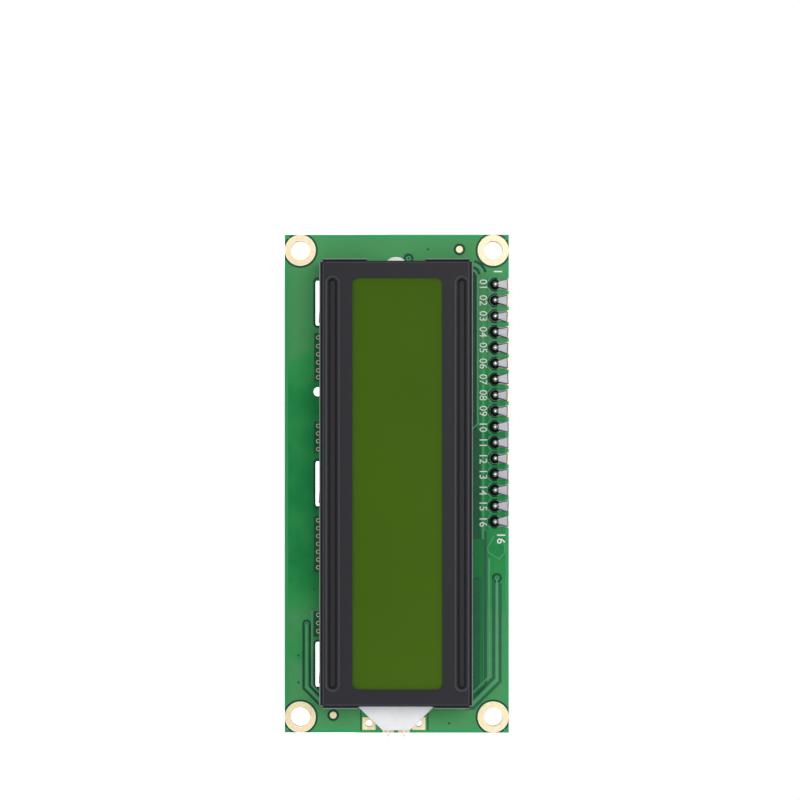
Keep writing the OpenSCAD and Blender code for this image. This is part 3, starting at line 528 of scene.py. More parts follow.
solder_mask = green_board()
track_mask = mask_strip("green_mask_over_tracks", "#2F9062", "#43A173", rough=0.36)
gap_mask = mask_strip("green_mask_over_gaps", "#07422E", "#0B5238", rough=0.4)
deep_mask = mask_strip("green_mask_over_bare_laminate", "#0A5436", "#0F6440")
bare_mask = mask_strip("green_mask_without_copper", "#0F6E4F", "#147759", size_mm=5)
front_track = mask_strip("green_mask_over_front_tracks", "#4C9C69", "#57A674", rough=0.36)
front_deep = mask_strip("green_mask_over_wide_gap", "#0F6540", "#146E46")
front_bare = mask_strip("green_mask_beside_the_bezel", "#00783A", "#007F40")
front_gap = mask_strip("green_mask_in_front_gaps", "#1D6044", "#24694B", rough=0.4)

# Immersion gold on copper pads: a pale satin tan, matt from the grain of the copper below; paler along the rims of
# the rings and pads
immersion_gold = plain_finish("immersion_gold_pads", GOLD_DARK, GOLD_LIGHT, 0.5, 0.42, Metallic=0.5)
ring_rim = plain_finish("pale_rim_of_gold_rings", "#EFE5CE", "#F6EFDD", 0.5, 0.4, 0.003, Metallic=0.3)
# Painted shade: dark discs that stand for the inside of plated holes
painted_hole_shade = plain_finish("painted_shade_in_a_plated_hole", "#0A1A14", "#10241C", 0.3, 0.6, 0.003)
# Board lettering: white screen-printed ink, slightly uneven and matt
white_ink = plain_finish("screen_printed_white_ink", "#DFE6DC", "#EFF3EA", 0.3, 0.6, 0.003, IOR=1.5)

black_enamel = bezel_enamel()
polariser = display_film()
# Display glass: float glass, cut and ground at its edges; a clear grey-green
display_glass = plain_finish("float_glass_of_the_display", "#9DB8A0", "#A9C2AB", 4, 0.08, 0.001, 0.02,
                             IOR=1.52, Transmission_Weight=0.6)
# Inside the display: drawn white film, pink moulded silicone, clear cast acrylic
diffuser = plain_finish("polyester_diffuser_film", "#E4E9DC", "#EDF0E6", 3, 0.6, IOR=1.57)
silicone = plain_finish("silicone_contact_strip", "#B87982", "#CC8B94", 0.4, 0.55, 0.006, IOR=1.41)
acrylic = plain_finish("acrylic_light_guide", "#DDE6D2", "#E6EDDD", 3, 0.12, 0.002, 0.03,
                       IOR=1.49, Transmission_Weight=0.5)
# Backlight tray: white polycarbonate, injection moulded; a cool white with a soft satin sheen
white_tray = plain_finish("moulded_white_polycarbonate", "#E2E3E7", "#ECEDF0", 2, 0.4,
                          IOR=1.58, Subsurface_Weight=0.08, Subsurface_Scale=0.0004)
# Backlight lamp: cast epoxy, a pale yellow with a soft shine
lamp_epoxy = plain_finish("cast_epoxy_of_the_lamp", "#D9DDB0", "#E5E8C0", 1, 0.25, 0.002, IOR=1.55)

# Pins: tin plate on brass, drawn and cut; a pale warm grey with a soft shine
tin_plate = plain_finish("tin_plated_brass_pins", "#C9C4B8", "#DAD6CC", 0.5, 0.3, 0.004, 0.07, Metallic=0.9)
# Solder: tin alloy, cooled bright; a pale grey metal with slow ripples
bright_solder = plain_finish("tin_alloy_solder", "#7E8084", "#8E9094", 0.5, 0.4, 0.003, 0.06, Metallic=0.72)
joint_solder = header_solder()
# Adapter pads: hot-air levelled tin, brighter than the cooled joints
tinned_pads = plain_finish("hot_air_levelled_tin_on_pads", "#D2D5D8", "#E6E8EA", 0.5, 0.42, 0.004, 0.06,
                           Metallic=0.55)
pad_gold = board_pads()

poured_epoxy = driver_epoxy()
# Header plastic: glass-filled nylon, moulded; a dull black with a fine grain
black_nylon = plain_finish("moulded_black_nylon", "#131315", "#1B1B1E", 0.4, 0.5, 0.006, 0.06, IOR=1.53,
                           Specular_IOR_Level=0.3)
# Chip packages: moulded epoxy, a matt charcoal with a sandy grain
moulded_epoxy = plain_finish("moulded_black_epoxy_package", "#25252A", "#2E2E34", 0.25, 0.62, 0.006, IOR=1.5,
                             Specular_IOR_Level=0.3)
black_mask = black_board()
black_track = plain_finish("black_mask_over_tracks", "#24242A", "#2B2B32", 2, 0.34, 0.003, IOR=1.5,
                           Specular_IOR_Level=0.2)
# Trimmer: blue thermoplastic housing, moulded, with a slight sheen; darker in its scale marks; grey rotor
blue_housing = plain_finish("moulded_blue_thermoplastic", "#1560BE", "#1E6DCB", 0.8, 0.4, 0.005, IOR=1.53)
dark_blue = plain_finish("moulded_blue_in_its_scale_marks", "#123A78", "#18468A", 0.8, 0.45, IOR=1.53)
grey_rotor = plain_finish("moulded_grey_rotor", "#949697", "#A6A7A8", 0.5, 0.4, 0.006, 0.06, IOR=1.53)
# Chip resistors: fired black overglaze; chip capacitor: sintered tan ceramic
overglaze = plain_finish("fired_black_overglaze", "#1C1C1E", "#262628", 0.4, 0.34, 0.006, IOR=1.55)
sintered_ceramic = plain_finish("sintered_tan_ceramic", "#A98560", "#B8946C", 0.4, 0.5, 0.006, IOR=1.6)
# Power lamp: a matt white laminate base under a lens of clear cast epoxy, faintly green
lamp_base = plain_finish("white_laminate_of_the_power_lamp", "#C4C8C2", "#D4D7D0", 0.5, 0.5, 0.005, IOR=1.5)
lamp_lens = plain_finish("clear_epoxy_lens", "#BFD4CE", "#CDE0DA", 0.6, 0.15, 0.002, 0.04, IOR=1.54,
                         Transmission_Weight=0.35)

SLOT_LOOKS = {
    "green_solder_mask": solder_mask, "gold_pads": immersion_gold, "black_steel": black_enamel,
    "polariser_film": polariser, "display_glass": display_glass, "diffuser_film": diffuser,
    "silicone_strip": silicone, "acrylic_guide": acrylic, "white_plastic": white_tray,
    "lamp_epoxy": lamp_epoxy, "tinned_pin": tin_plate, "solder": bright_solder,
    "black_epoxy": poured_epoxy, "black_plastic": black_nylon, "black_mould": moulded_epoxy,
    "black_solder_mask": black_mask, "blue_plastic": blue_housing, "rotor_plastic": grey_rotor,
    "resistor_glaze": overglaze, "capacitor_ceramic": sintered_ceramic, "led_base": lamp_base,
    "led_lens": lamp_lens,
}
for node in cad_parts.values():
    for seat in node.material_slots:
        seat.material = SLOT_LOOKS[seat.material.name.split(".")[0]]
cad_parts["lcd_board_pads"].material_slots[0].material = pad_gold
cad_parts["adapter_pads"].material_slots[0].material = tinned_pads

# Pieces whose CAD shape is right and only needs its edges broken

tray = softened("backlight_tray", "tray_with_lamp_tab", 0.12, "white_plastic")
# the nose at the other end stands higher than the tray's solid and shows as a bright lip past the bezel
NOSE_ROOT, NOSE_FRONT, NOSE_RISE = -0.0341, -0.0012, 0.0040
LIP_START, LIP_STRETCH = -0.0351, 1.45
for point in tray.data.vertices:
    if point.co.x < NOSE_ROOT and point.co.y < NOSE_FRONT:
        point.co.y -= NOSE_RISE
        if point.co.x < LIP_START:
            point.co.x = LIP_START + (point.co.x - LIP_START) * LIP_STRETCH

# node, name, width of the broken edge, slot, and the body where it isn't the module
CAD_PIECES = [
    ("backlight_legs", "lamp_legs", 0.08, "tinned_pin"),
    ("header_spacer", "header_spacer_bar", 0.1, "black_plastic"),
    ("header_pins", "header_pin_row", 0.06, "tinned_pin"),
    ("expander_chip", "expander_package", 0.12, "black_mould"),
    ("expander_leads", "expander_gull_leads", 0.05, "tinned_pin"),
    ("serial_header_block", "serial_header_cells", 0.1, "black_plastic"),
    ("serial_header_pins", "serial_header_bent_pins", 0.06, "tinned_pin"),
    ("jumper_header_block", "jumper_header_cells", 0.1, "black_plastic"),
    ("jumper_header_pins", "jumper_header_bent_pins", 0.06, "tinned_pin"),
    ("trimmer_body", "trimmer_housing", 0.12, "blue_plastic"),
    ("trimmer_rotor", "trimmer_cross_slot_rotor", 0.05, "rotor_plastic", "rotor"),
    ("jumper_cap", "jumper_cap_shell", 0.12, "black_plastic", "jumper"),
    ("board_resistors", "board_resistor_chips", 0.04, "resistor_glaze"),
    ("board_resistor_ends", "board_resistor_caps", 0.06, "solder"),
    ("adapter_resistors", "adapter_resistor_chips", 0.04, "resistor_glaze"),
    ("adapter_resistor_ends", "adapter_resistor_caps", 0.06, "solder"),
    ("adapter_capacitor", "adapter_capacitor_chip", 0.06, "capacitor_ceramic"),
    ("adapter_capacitor_ends", "adapter_capacitor_caps", 0.06, "solder"),
    ("power_led_base", "power_lamp_base", 0.05, "led_base"),
    ("power_led_lens", "power_lamp_lens", 0.12, "led_lens"),
    ("power_led_ends", "power_lamp_ends", 0.05, "solder"),
    ("transistor_body", "transistor_package", 0.08, "black_mould"),
    ("transistor_leads", "transistor_bent_leads", 0.05, "tinned_pin"),
]
for row in CAD_PIECES:
    softened(*row)

# Bezel: the folded sheet is kept down to the board's back, and its six lugs are modelled below it

CORNER_IN, CORNER_OUT = (34.6, 11.05), (35.62, 12.07)       # the sheet's inside and outside, from the middle
BEAD_ROWS = [BEZEL_Y + 0.18 + side * 10.25 for side in SIDES]
sheet = merged_copy("bezel", "bezel_sheet", (bpy.ops.mesh.bisect, {
    "plane_co": (0, 1.75, 0), "plane_no": (0, 1, 0), "clear_outer": True, "use_fill": True}))
sheet.data.transform(Matrix.Rotation(math.radians(-90), 4, "X"))
for end in SIDES:
    for side in SIDES:
        # the sheet is drawn round its corners, with the corner itself cut across
        far = (CORNER_OUT[0] * end, BEZEL_Y + CORNER_OUT[1] * side)
        xs = sorted((CORNER_IN[0] * end, far[0]))
        ys = sorted((BEZEL_Y + CORNER_IN[1] * side, far[1]))
        post = box("corner_post", (xs[0], ys[0], 0.02), (xs[1], ys[1], BEZEL_FACE - 0.1))
        for edge in post.data.edges:
            ends = [post.data.vertices[n].co for n in edge.vertices]
            edge.select = all(abs(v.x - far[0]) < 0.01 and abs(v.y - far[1]) < 0.01 for v in ends)
        bpy.context.tool_settings.mesh_select_mode = (False, True, False)
        in_edit(post, (bpy.ops.mesh.bevel, {"offset": 0.5, "segments": 1, "affect": "EDGES"}), whole=False)
        combine(sheet, rounded(post, 0.3, 3, 50), "UNION")
bpy.context.tool_settings.mesh_select_mode = (True, False, False)


def stadium(name, y, radius, length, z):
    """A flat face with round ends."""
    drop_picks()
    bpy.ops.mesh.primitive_circle_add(vertices=40, radius=radius, fill_type="NGON", location=(0, y, z))
    face = settled(name)
    for point in face.data.vertices:
        if abs(point.co.x) > 1e-5:
            point.co.x += math.copysign(length / 2 - radius, point.co.x)
    return face


# each bead is a groove round a raised middle: first a plug of solid steel, then the press that cuts into it
for y in BEAD_ROWS:
    plug = stadium("bead_plug", y, radius=0.95, length=66.6, z=BEZEL_FACE)
    in_edit(plug, pulled(-0.34), PICK_ALL, FACE_OUT)
    combine(sheet, plug, "UNION")
for y in BEAD_ROWS:
    # the press's shallow first step and its steep one give the facets that the enamel paints as rim highlight and
    # as slope shade
    press = stadium("bead_press", y, radius=1.16, length=66.0, z=BEZEL_FACE + 0.2)
    in_edit(press, (bpy.ops.mesh.flip_normals, {}), pulled(-0.194), stepped_in(0.22, 0.041),
            stepped_in(0.24, 0.005), stepped_in(0.34, 0.2), PICK_ALL, FACE_OUT)
    combine(sheet, press, "DIFFERENCE")
rounded(sheet, 0.04, 2, 25)
pick(sheet)
bpy.ops.object.shade_flat()
fit(stand_up(sheet), "black_steel", "bezel")


def wrung_lug():
    """The tongue's head: a strip on a narrow neck. One half swings 47 degrees over the pad, the other 4, with a
    soft bend at the middle."""
    half, bend, steps = 3.15, 1.7, 24

    def turn_at(across):
        share = min(1.0, max(0.0, across / bend + 0.5))
        return -math.radians(4 + 43 * share * share * (3 - 2 * share))

    head = sliced(box("lug", (-half, -SHEET / 2, -3.54), (half, SHEET / 2, -1.95)), axis=0,
                  start=-half, length=2 * half, parts=28)
    for point in head.data.vertices:
        across, off = point.co.x, point.co.y
        x = y = 0.0
        for n in range(steps):
            turn = turn_at(across * (n + 0.5) / steps)
            x += across / steps * math.cos(turn)
            y += across / steps * math.sin(turn)
        turn = turn_at(across)
        point.co.x = x - off * math.sin(turn)
        point.co.y = y + off * math.cos(turn)
    neck = rounded(box("neck", (-0.75, -SHEET / 2, -2.2), (0.75, SHEET / 2, -1.6)), 0.05)
    return joined("lug", [smooth(rounded(head, 0.05, 2, 60), 50), neck])


lug = wrung_lug()
lugs = [copy_of(lug, "lug_copy", (x, BEZEL_Y + off, 0), turn) for off, turn in ((12.0, 0.0), (-12.0, math.pi))
        for x in SLOTS_X]
bpy.data.objects.remove(lug)
fit(stand_up(joined("bezel_lugs", lugs)), "black_steel")


# Solder joints

def solder_joint(name, foot, flow):
    """A concave cone around a pin, with a flow of solder out along the pad."""
    top, height = 0.42, 1.0
    cone = rod(name, (0, 0, height / 2), foot, height, 24)
    sliced(cone, axis=2, start=0, length=height, parts=6)
    for point in cone.data.vertices:
        narrow = (top + (foot - top) * (1 - point.co.z / height) ** 2.2) / foot
        point.co.x *= narrow
        point.co.y *= narrow
    if flow:
        wedge = box("flow", (-0.95, 0.0, 0.0), (0.95, flow, 0.34))
        for point in wedge.data.vertices:
            if point.co.y < 0.1:
                point.co.x *= 0.36
                point.co.z *= 2.0
        combine(cone, rounded(wedge, 0.1, 2), "UNION")
    modify(cone, "REMESH", mode="VOXEL", voxel_size=0.075)
    modify(cone, "SMOOTH", factor=0.6, iterations=3)
    return smooth(cone, 60)


def soldered_row(name, node, foot, flow, level, upside=1):
    """One joint copied to all sixteen pins, each a little different."""
    joint = solder_joint("joint", foot, flow)
    copies = []
    for x in PINS:
        wide = 1 + random.uniform(-0.05, 0.06)
        tall = 1 + random.uniform(-0.1, 0.06)
        turn = math.radians(random.uniform(-4, 4))
        copies.append(copy_of(joint, "joint", (x, PIN_ROW, level), turn, (wide, wide, upside * tall)))
    bpy.data.objects.remove(joint)
    row = joined(name, copies)
    if upside < 0:
        in_edit(row, FACE_OUT)
    fit(stand_up(row), "solder", node, look=joint_solder)


soldered_row("header_joints_front", "header_solder_front", foot=0.92, flow=2.1, level=FRONT + 0.02)
soldered_row("header_joints_rear", "header_solder_rear", foot=0.93, flow=0, level=ADAPTER_BACK - 0.02, upside=-1)


# Driver chips: a low poured dome, thick at its rim, slightly uneven

def poured_dome(name, place, node):
    x, y = place
    dome = rod(name, (x, y, BACK - DRIVER_H / 2), DRIVER_R, DRIVER_H, 64)
    in_edit(dome, (bpy.ops.mesh.select_all, {"action": "DESELECT"}))
    for side in dome.data.polygons:
        side.select = side.normal.z < -0.9
    in_edit(dome, *[stepped_in(0.72, 0)] * 7, whole=False)
    for point in dome.data.vertices:
        if point.co.z < BACK - 0.5:
            out = min(1.0, math.hypot(point.co.x - x, point.co.y - y) / DRIVER_R)
            point.co.z = BACK - DRIVER_H * (1 - out ** 3.2) ** 0.55 - 0.02
    for point in dome.data.vertices:
        wave = abs(noise.noise(Vector((point.co.x * 0.5, point.co.y * 0.5, 1.7))))
        point.co.x -= (point.co.x - x) * 0.02 * wave
        point.co.y -= (point.co.y - y) * 0.02 * wave
    fit(stand_up(smooth(dome, 80)), "black_epoxy", node)


for side, place in DRIVERS.items():
    poured_dome("poured_driver_" + side, place, "driver_blob_" + side)


# Front of the display board: gaps, tracks, vias and numbers

def on_board(name, paths, width, rise, look, level=FRONT, slot="green_solder_mask"):
    fit(stand_up(strips(name, paths, width, rise, level)), slot, look=look)


def board_numbers(name, marks, size, level=FRONT, slot="green_solder_mask", **style):
    fit(numbers(name, marks, size, level, **style), slot, look=white_ink)


def holes_with_rims(name, places, rim, bore, rim_look, level=FRONT):
    """Plated holes: a thin copper rim and a dark disc of painted shade for the bore, each modelled once and copied
    to its places.
    """
    drop_picks()
    bpy.ops.mesh.primitive_torus_add(major_radius=(rim + bore) / 2, minor_radius=(rim - bore) / 2,
                                     major_segments=18, minor_segments=6)
    bpy.context.object.scale = (1, 1, 0.05 / (rim - bore))
    models = settled("rim"), rod("bore", (0, 0, 0), bore, 0.03, 18)
    rims, hole_shade_discs = [joined(name + part, [copy_of(model, "copy", (x, y, level)) for x, y in places])
                   for part, model in zip(("_rims", "_bores"), models)]
    for model in models:
        bpy.data.objects.remove(model)
    fit(stand_up(smooth(rims, 60)), "green_solder_mask", look=rim_look)
    fit(stand_up(hole_shade_discs), "green_solder_mask", look=painted_hole_shade)


RING_EDGES = [ring(*at, 2.4, 56) for at in HOLES] + [ring(*at, 1.6, 40) for at in HOLES]
CLEARANCES = [corner_arc(*at) for at in HOLES] + [ring(*at, 0.76) for at in FIDUCIALS]
LOW_VIA, HIGH_VIA, END_VIA = (22.5, -14.475), (15.15, 16.1), (-36.2, 1.9)
ARCS_AT = (-33.5, 12.0)         # the quarter rings beside pin 1

on_board("front_mask_gaps", CLEARANCES + [
    run((22.5, -14.97), (32.9, -14.97), (35.5, -12.4)), run((22.5, -13.98), (32.5, -13.98), (34.3, -12.2)),
    arc(*LOW_VIA, 0.5, 90, 270), ring(*HIGH_VIA, 0.62), ring(*END_VIA, 0.62),
    arc(*ARCS_AT, 2.3, 102, 168), arc(*ARCS_AT, 1.3, 98, 165)], 0.4, 0.012, gap_mask)
on_board("front_track_gaps", [
    run((7.6, 14.25), (32.4, 14.25), (34.4, 12.2)), run((15.3, 15.58), (31.2, 15.58), (34.6, 12.2)),
    run((16.0, 16.62), (31.8, 16.62), (36.1, 12.3), (36.1, 10.9))], 0.52, 0.014, front_gap)
on_board("front_tab_gaps", [run((35.7, y), (39.7, y)) for y in (-5.76, 5.0)], 0.26, 0.01, front_gap)
on_board("slot_rims", [around((x, 0), (-3.9, -11.7), (-3.9, -12.9), (-3.55, -13.26), (3.55, -13.26), (3.9, -12.9),
                              (3.9, -11.7)) for x in SLOTS_X], 0.3, 0.012, gap_mask)
# beside the bezel, from the pin row to the far end
on_board("front_deep_band", [run((15.2, 12.85), (32.6, 12.85), (33.4, 12.2))], 1.35, 0.008, front_deep)
on_board("front_header_band", [run((-34.0, 12.55), (-8.6, 12.55))], 0.8, 0.01, gap_mask)
on_board("front_header_deep", [run((-8.6, 12.8), (8.9, 12.8))], 1.45, 0.008, deep_mask)
on_board("front_bezel_side", [run((8.9, 12.8), (15.3, 12.8))], 1.45, 0.008, front_bare)
on_board("front_side_strip", [run((8.9, 13.75), (32.2, 13.75), (33.8, 12.2))], 0.42, 0.011, front_bare)
on_board("front_under_numbers", [run((-28.0, 13.9), (8.9, 13.9))], 0.3, 0.009, front_track)
on_board("front_via_band", [
    run((20.5, -12.75), (24.6, -12.75)), run((5.2, -12.7), (14.2, -12.7)), run((-24.2, -12.6), (-16.4, -12.6)),
    run((-10.0, -12.65), (-4.9, -12.65))], 1.3, 0.009, deep_mask)
on_board("front_tracks", [
    run(HIGH_VIA, (31.5, 16.1), (35.3, 12.3)), run((12.0, 14.85), (31.0, 14.85), (33.6, 12.25)),
    run(LOW_VIA, (32.7, -14.475), (34.9, -12.3)), run((20.5, -13.62), (32.35, -13.62), (33.8, -12.2)),
    run((-33.6, 13.0), (-9.6, 13.0), (-8.8, 12.2)), arc(*ARCS_AT, 1.8, 98, 168), arc(*ARCS_AT, 0.85, 98, 160)],
    0.3, 0.022, front_track)
on_board("front_row_end_border", [run((8.4, 15.6), (10.4, 14.56), (11.1, 14.8), (12.1, 16.5), (11.1, 17.35),
                                      (10.0, 17.35), (9.0, 17.0))], 0.2, 0.022, front_track)
# round each header joint: dark mask, a pale ring, and the pad's corners and sides
on_board("front_pad_corners", [arc(x + side * 0.95, PIN_ROW - 1.0, 0.12, 0, 340, 10) for x in PINS
                               for side in SIDES], 0.5, 0.07, solder_mask)
on_board("front_joint_gaps", [arc(x, PIN_ROW, 0.99, 160, 380) for x in PINS], 0.32, 0.12, gap_mask)
on_board("front_joint_arcs", [arc(x, PIN_ROW, 1.29, 205, 335) for x in PINS], 0.13, 0.085, front_track)
on_board("front_pad_sides", [run((x + side * 0.8, PIN_ROW + 0.3), (x + side * 0.93, PIN_ROW + 1.55)) for x in PINS
                             for side in SIDES], 0.24, 0.11, solder_mask)

holes_with_rims("small_vias", [(27.6, -15.8), (31.95, -15.8), (16.9, -13.3), (38.5, 8.4), (-37.65, 5.03)],
                0.24, 0.17, track_mask)
holes_with_rims("ringed_vias", [LOW_VIA, HIGH_VIA, END_VIA], 0.36, 0.17, track_mask)
VIAS_X = [-23.5, -22.1, -20.8, -19.5, -18.2, -17.1, -9.3, -8.07, -6.84, -5.54] + [5.9 + 1.26 * n for n in range(7)]
holes_with_rims("edge_vias", [(x, -12.62) for x in VIAS_X] + [(x, -12.6) for x in (21.1, 22.4, 23.7)],
                0.36, 0.2, immersion_gold)

board_numbers("pin_numbers", [("%02d" % (n + 1), x, 13.85, 0) for n, x in enumerate(PINS)], 1.75, weight=0.006)
board_numbers("row_end_numbers", [("1", -34.1, 16.2, 0), ("16", 8.75, 16.7, 0)], 1.9)
on_board("front_ring_rims", RING_EDGES, 0.2, 0.075, ring_rim)


# Back of the display board

def back_ink(name, paths, width):
    on_board(name, paths, width, 0.025, white_ink, BACK)


back_ink("back_ink_outlines", [
    bracket(28.9, 27.4, -7.55, -4.95), bracket(30.7, 32.6, -7.55, -4.95),
    bracket(28.9, 27.4, -4.15, -1.45), bracket(30.7, 32.6, -4.15, -1.45),
    bracket(19.4, 17.7, 11.1, 13.8), bracket(21.2, 22.9, 11.1, 13.8),
    frame_line(-24.6, -7.15, -21.1, -5.2), frame_line(-24.6, -5.05, -21.1, -3.05),
    frame_line(-32.3, -7.45, -28.75, -5.45), frame_line(-32.3, -5.2, -28.75, -3.2),
    frame_line(-32.3, -3.2, -28.75, -1.2)], 0.34)
back_ink("back_ink_thin", [
    run((28.6, 4.35), (27.8, 4.35), (27.8, -0.97), (30.35, -0.97), (30.35, 4.35), (29.6, 4.35)),
    arc(29.1, 4.35, 0.5, 180, 360)] + [ring(x, 5.58, 1.1) for x in (31.7, 29.27, 26.8)], 0.22)
back_ink("back_ink_thick_bars", [run((27.25, -7.5), (27.25, -5.0)), run((27.25, -4.1), (27.25, -1.5))], 0.65)
back_ink("back_driver_rings", [ring(x, y, 5.62, 72) for x, y in DRIVERS.values()], 0.5)
signs = [run((38.2, -7.5), (38.2, -6.0))]
for x, y in ((38.3, 6.3), (25.9, -6.3), (25.9, -2.8)):
    signs += [run((x, y - 0.85), (x, y + 0.85)), run((x - 0.85, y), (x + 0.85, y))]
back_ink("back_ink_signs", signs, 0.34)
board_numbers("back_numbers", [
    ("1", 31.7, 7.5, 90), ("2", 29.27, 7.5, 90), ("3", 26.8, 7.5, 90), ("1", 33.9, -6.3, 90),
    ("2", 33.9, -2.8, 90), ("8", 24.7, 12.5, 90), ("2", 17.0, -5.9, 0), ("1", -8.0, -7.2, 0),
    ("3", -21.1, -8.7, 0), ("4", -26.6, -6.4, 90), ("5", -26.6, -4.2, 90), ("6", -26.6, -2.2, 90),
    ("7", -19.9, -6.1, 90), ("9", -19.9, -4.05, 90)], 2.0, BACK, back=True, weight=0.045)
board_numbers("back_row_end_numbers", [("1", -34.1, 16.4, 0), ("16", 8.9, 16.7, 0)], 1.9, BACK, back=True)

# wide tracks along the lower edge, a bundle of thin ones to the right driver, and fans from the left driver
wide = [run((-35.0, 8.0), (-35.0, -12.5), (-33.5, -14.0), (24.2, -14.0), (26.4, -16.2), (33.8, -16.2)),
        run((-36.2, 8.0), (-36.2, -12.8), (-33.8, -15.2), (24.0, -15.2), (25.0, -16.2)),
        run((-34.4, -16.4), (24.0, -16.4))]
on_board("back_wide_gaps", wide, 1.3, 0.01, gap_mask, BACK)
on_board("back_wide_tracks", wide, 0.85, 0.02, track_mask, BACK)
bundle = []
for n in range(10):
    y = -9.4 + 0.52 * n
    bundle.append(run((26.2 - 0.3 * n, y + 4.2), (22.0 - 0.3 * n, y), (6.0 + 0.45 * n, y),
                      (-0.4 + 0.45 * n, y + 6.4)))
for n in range(6):
    x = -23.5 + 1.25 * n
    bundle.append(run((x, -12.2), (x, -10.9 + 0.3 * n), (x + 2.8, -8.1 + 0.3 * n), (x + 3.4, -6.9 + 0.2 * n)))
for n in range(5):
    x = -5.8 - 1.2 * n
    bundle.append(run((x, -12.2), (x, -11.2 + 0.4 * n), (-4.0 - 1.1 * n, -9.0 + 0.2 * n), (-5.0 - n, -7.6)))
on_board("back_bare_areas", [run((24.0, -7.0), (2.0, -7.0)), run((4.0, -5.4), (-2.5, 1.0)),
                             run((-16.0, -9.6), (-24.5, -9.6)), run((-4.0, -9.8), (-11.5, -9.8))],
         5.2, 0.004, bare_mask, BACK)
on_board("back_bundle_gaps", bundle, 0.36, 0.012, deep_mask, BACK)
on_board("back_bundle_tracks", bundle, 0.2, 0.022, track_mask, BACK)

# the bezel's pads: three below with a slot under each, and two above of which the adapter hides one
LOW_PAD, HIGH_PAD, PAD_HIGH, PAD_HALF = -11.58, 7.98, 2.7, 3.55
low_gaps = [frame_line(x - 3.72, -13.2, x + 3.72, LOW_PAD + 2.87) for x in SLOTS_X]
high_gap = frame_line(29.1 - 3.72, HIGH_PAD - 0.17, 29.1 + 3.72, HIGH_PAD + 2.87)
on_board("back_pad_gaps", CLEARANCES + low_gaps + [high_gap], 0.36, 0.012, gap_mask, BACK)
pads = [(x, LOW_PAD) for x in SLOTS_X] + [(x, HIGH_PAD) for x in SLOTS_X[1:]]
on_board("back_pad_rims", [frame_line(x - PAD_HALF + 0.12, y + 0.12, x + PAD_HALF - 0.12, y + PAD_HIGH - 0.12)
                           for x, y in pads] + RING_EDGES, 0.2, 0.075, ring_rim, BACK)
back_vias = [(x, -12.5) for x in (23.5, 22.1, 20.9, 13.2, 12.0, 10.7, 9.4, 8.2, -5.8, -7.0, -8.2, -9.5, -17.2,
                                  -18.4, -19.7, -21.0, -22.2, -23.5)]
back_vias += [(16.65, -13.2), (-34.0, -8.8), (-34.1, -7.7), (-37.5, -8.85), (23.9, -7.85), (23.3, -6.95),
              (23.9, -6.05), (23.3, -5.15), (23.9, -4.25), (23.3, -3.35), HIGH_VIA, LOW_VIA, (27.6, -15.8),
              (31.95, -15.8)]
holes_with_rims("back_vias", back_vias, 0.42, 0.19, track_mask, BACK)
holes_with_rims("back_test_pads", [(36.0, 0.74), (36.0, -1.8)], 0.95, 0.3, immersion_gold, BACK)


# Adapter board: white ink on its back

def adapter_ink(name, paths, width=0.22):
    on_board(name, paths, width, 0.025, white_ink, ADAPTER_BACK, "black_solder_mask")


def on_adapter(x, y):
    """From the adapter's own corner to the board's middle."""
    return x - 33.7, y - 1.35


def adapter_frame(x, y, wide, tall):
    cx, cy = on_adapter(x, y)
    return frame_line(cx - wide / 2, cy - tall / 2, cx + wide / 2, cy + tall / 2)


UPRIGHT_X, LYING_X, LINKS_X = (29.08, 31.65, 34.23), (21.24, 25.74, 30.17), (6.56, 8.96, 11.42)
CHIP, LAMP, CAPACITOR = on_adapter(20.54, 9.495), on_adapter(36.73, 6.47), on_adapter(29.65, 11.58)
outlines = [adapter_frame(x, 6.72, 2.2, 4.2) for x in UPRIGHT_X]
outlines += [adapter_frame(32.19, 11.61, 2.2, 4.2)]
outlines += [adapter_frame(x, 2.09, 4.1, 2.3) for x in LYING_X]
outlines += [adapter_frame(x, 2.99, 1.55, 2.9) for x in LINKS_X]
outlines += [
    adapter_frame(9.2, 10.7, 7.8, 7.8),
    run((-33.3, 14.72), (7.3, 14.72), (7.3, 16.95)), run((-33.3, 14.72), (-33.3, 16.95)),
    bracket(-33.5, -31.0, 2.7, 13.3), run((-31.0, 10.65), (-31.6, 10.65)), bracket(7.5, 4.9, 6.17, 11.57),
    around(LAMP, (-1.1, -2.5), (1.1, -2.5), (1.1, 1.8), (0.6, 2.5), (-0.6, 2.5), (-1.1, 1.8), (-1.1, -2.5)),
    around(CAPACITOR, (0.6, -2.5), (1.1, -1.7), (1.1, 1.7), (0.6, 2.5), (-0.6, 2.5), (-1.1, 1.7), (-1.1, -1.7),
           (-0.6, -2.5), closed=True),
    around(CHIP, (-4.0, -5.4), (-4.0, 5.5), (4.0, 5.5), (4.0, -5.4)),
    run((1.9, 10.8), (1.05, 10.8), (1.05, 11.97), (1.6, 11.97)),
    run((2.5, 10.8), (3.63, 10.8), (3.63, 11.97), (3.0, 11.97))]
adapter_ink("adapter_ink_outlines", outlines)
side_marks = []
for x in UPRIGHT_X:
    middle = on_adapter(x, 6.72)
    side_marks += [around(middle, (-1.3, 0), (-1.1, 0)), around(middle, (1.1, 0), (1.3, 0))]
for x in LYING_X:
    middle = on_adapter(x, 2.09)
    side_marks += [around(middle, (0, -1.35), (0, -1.15)), around(middle, (0, 1.15), (0, 1.35))]
adapter_ink("adapter_ink_ticks", side_marks, 0.5)
plus = on_adapter(37.6, 3.4)
adapter_ink("adapter_ink_plus", [around(plus, (-0.5, 0), (0.5, 0)), around(plus, (0, -0.5), (0, 0.5))],
            0.18)
marks = [("%d" % (n + 1), -30.2, 4.19 + PITCH * n, 90) for n in range(4)]
marks += [("%d" % n, on_adapter(x, 0)[0], -0.25, 90) for n, x in enumerate(LINKS_X)]
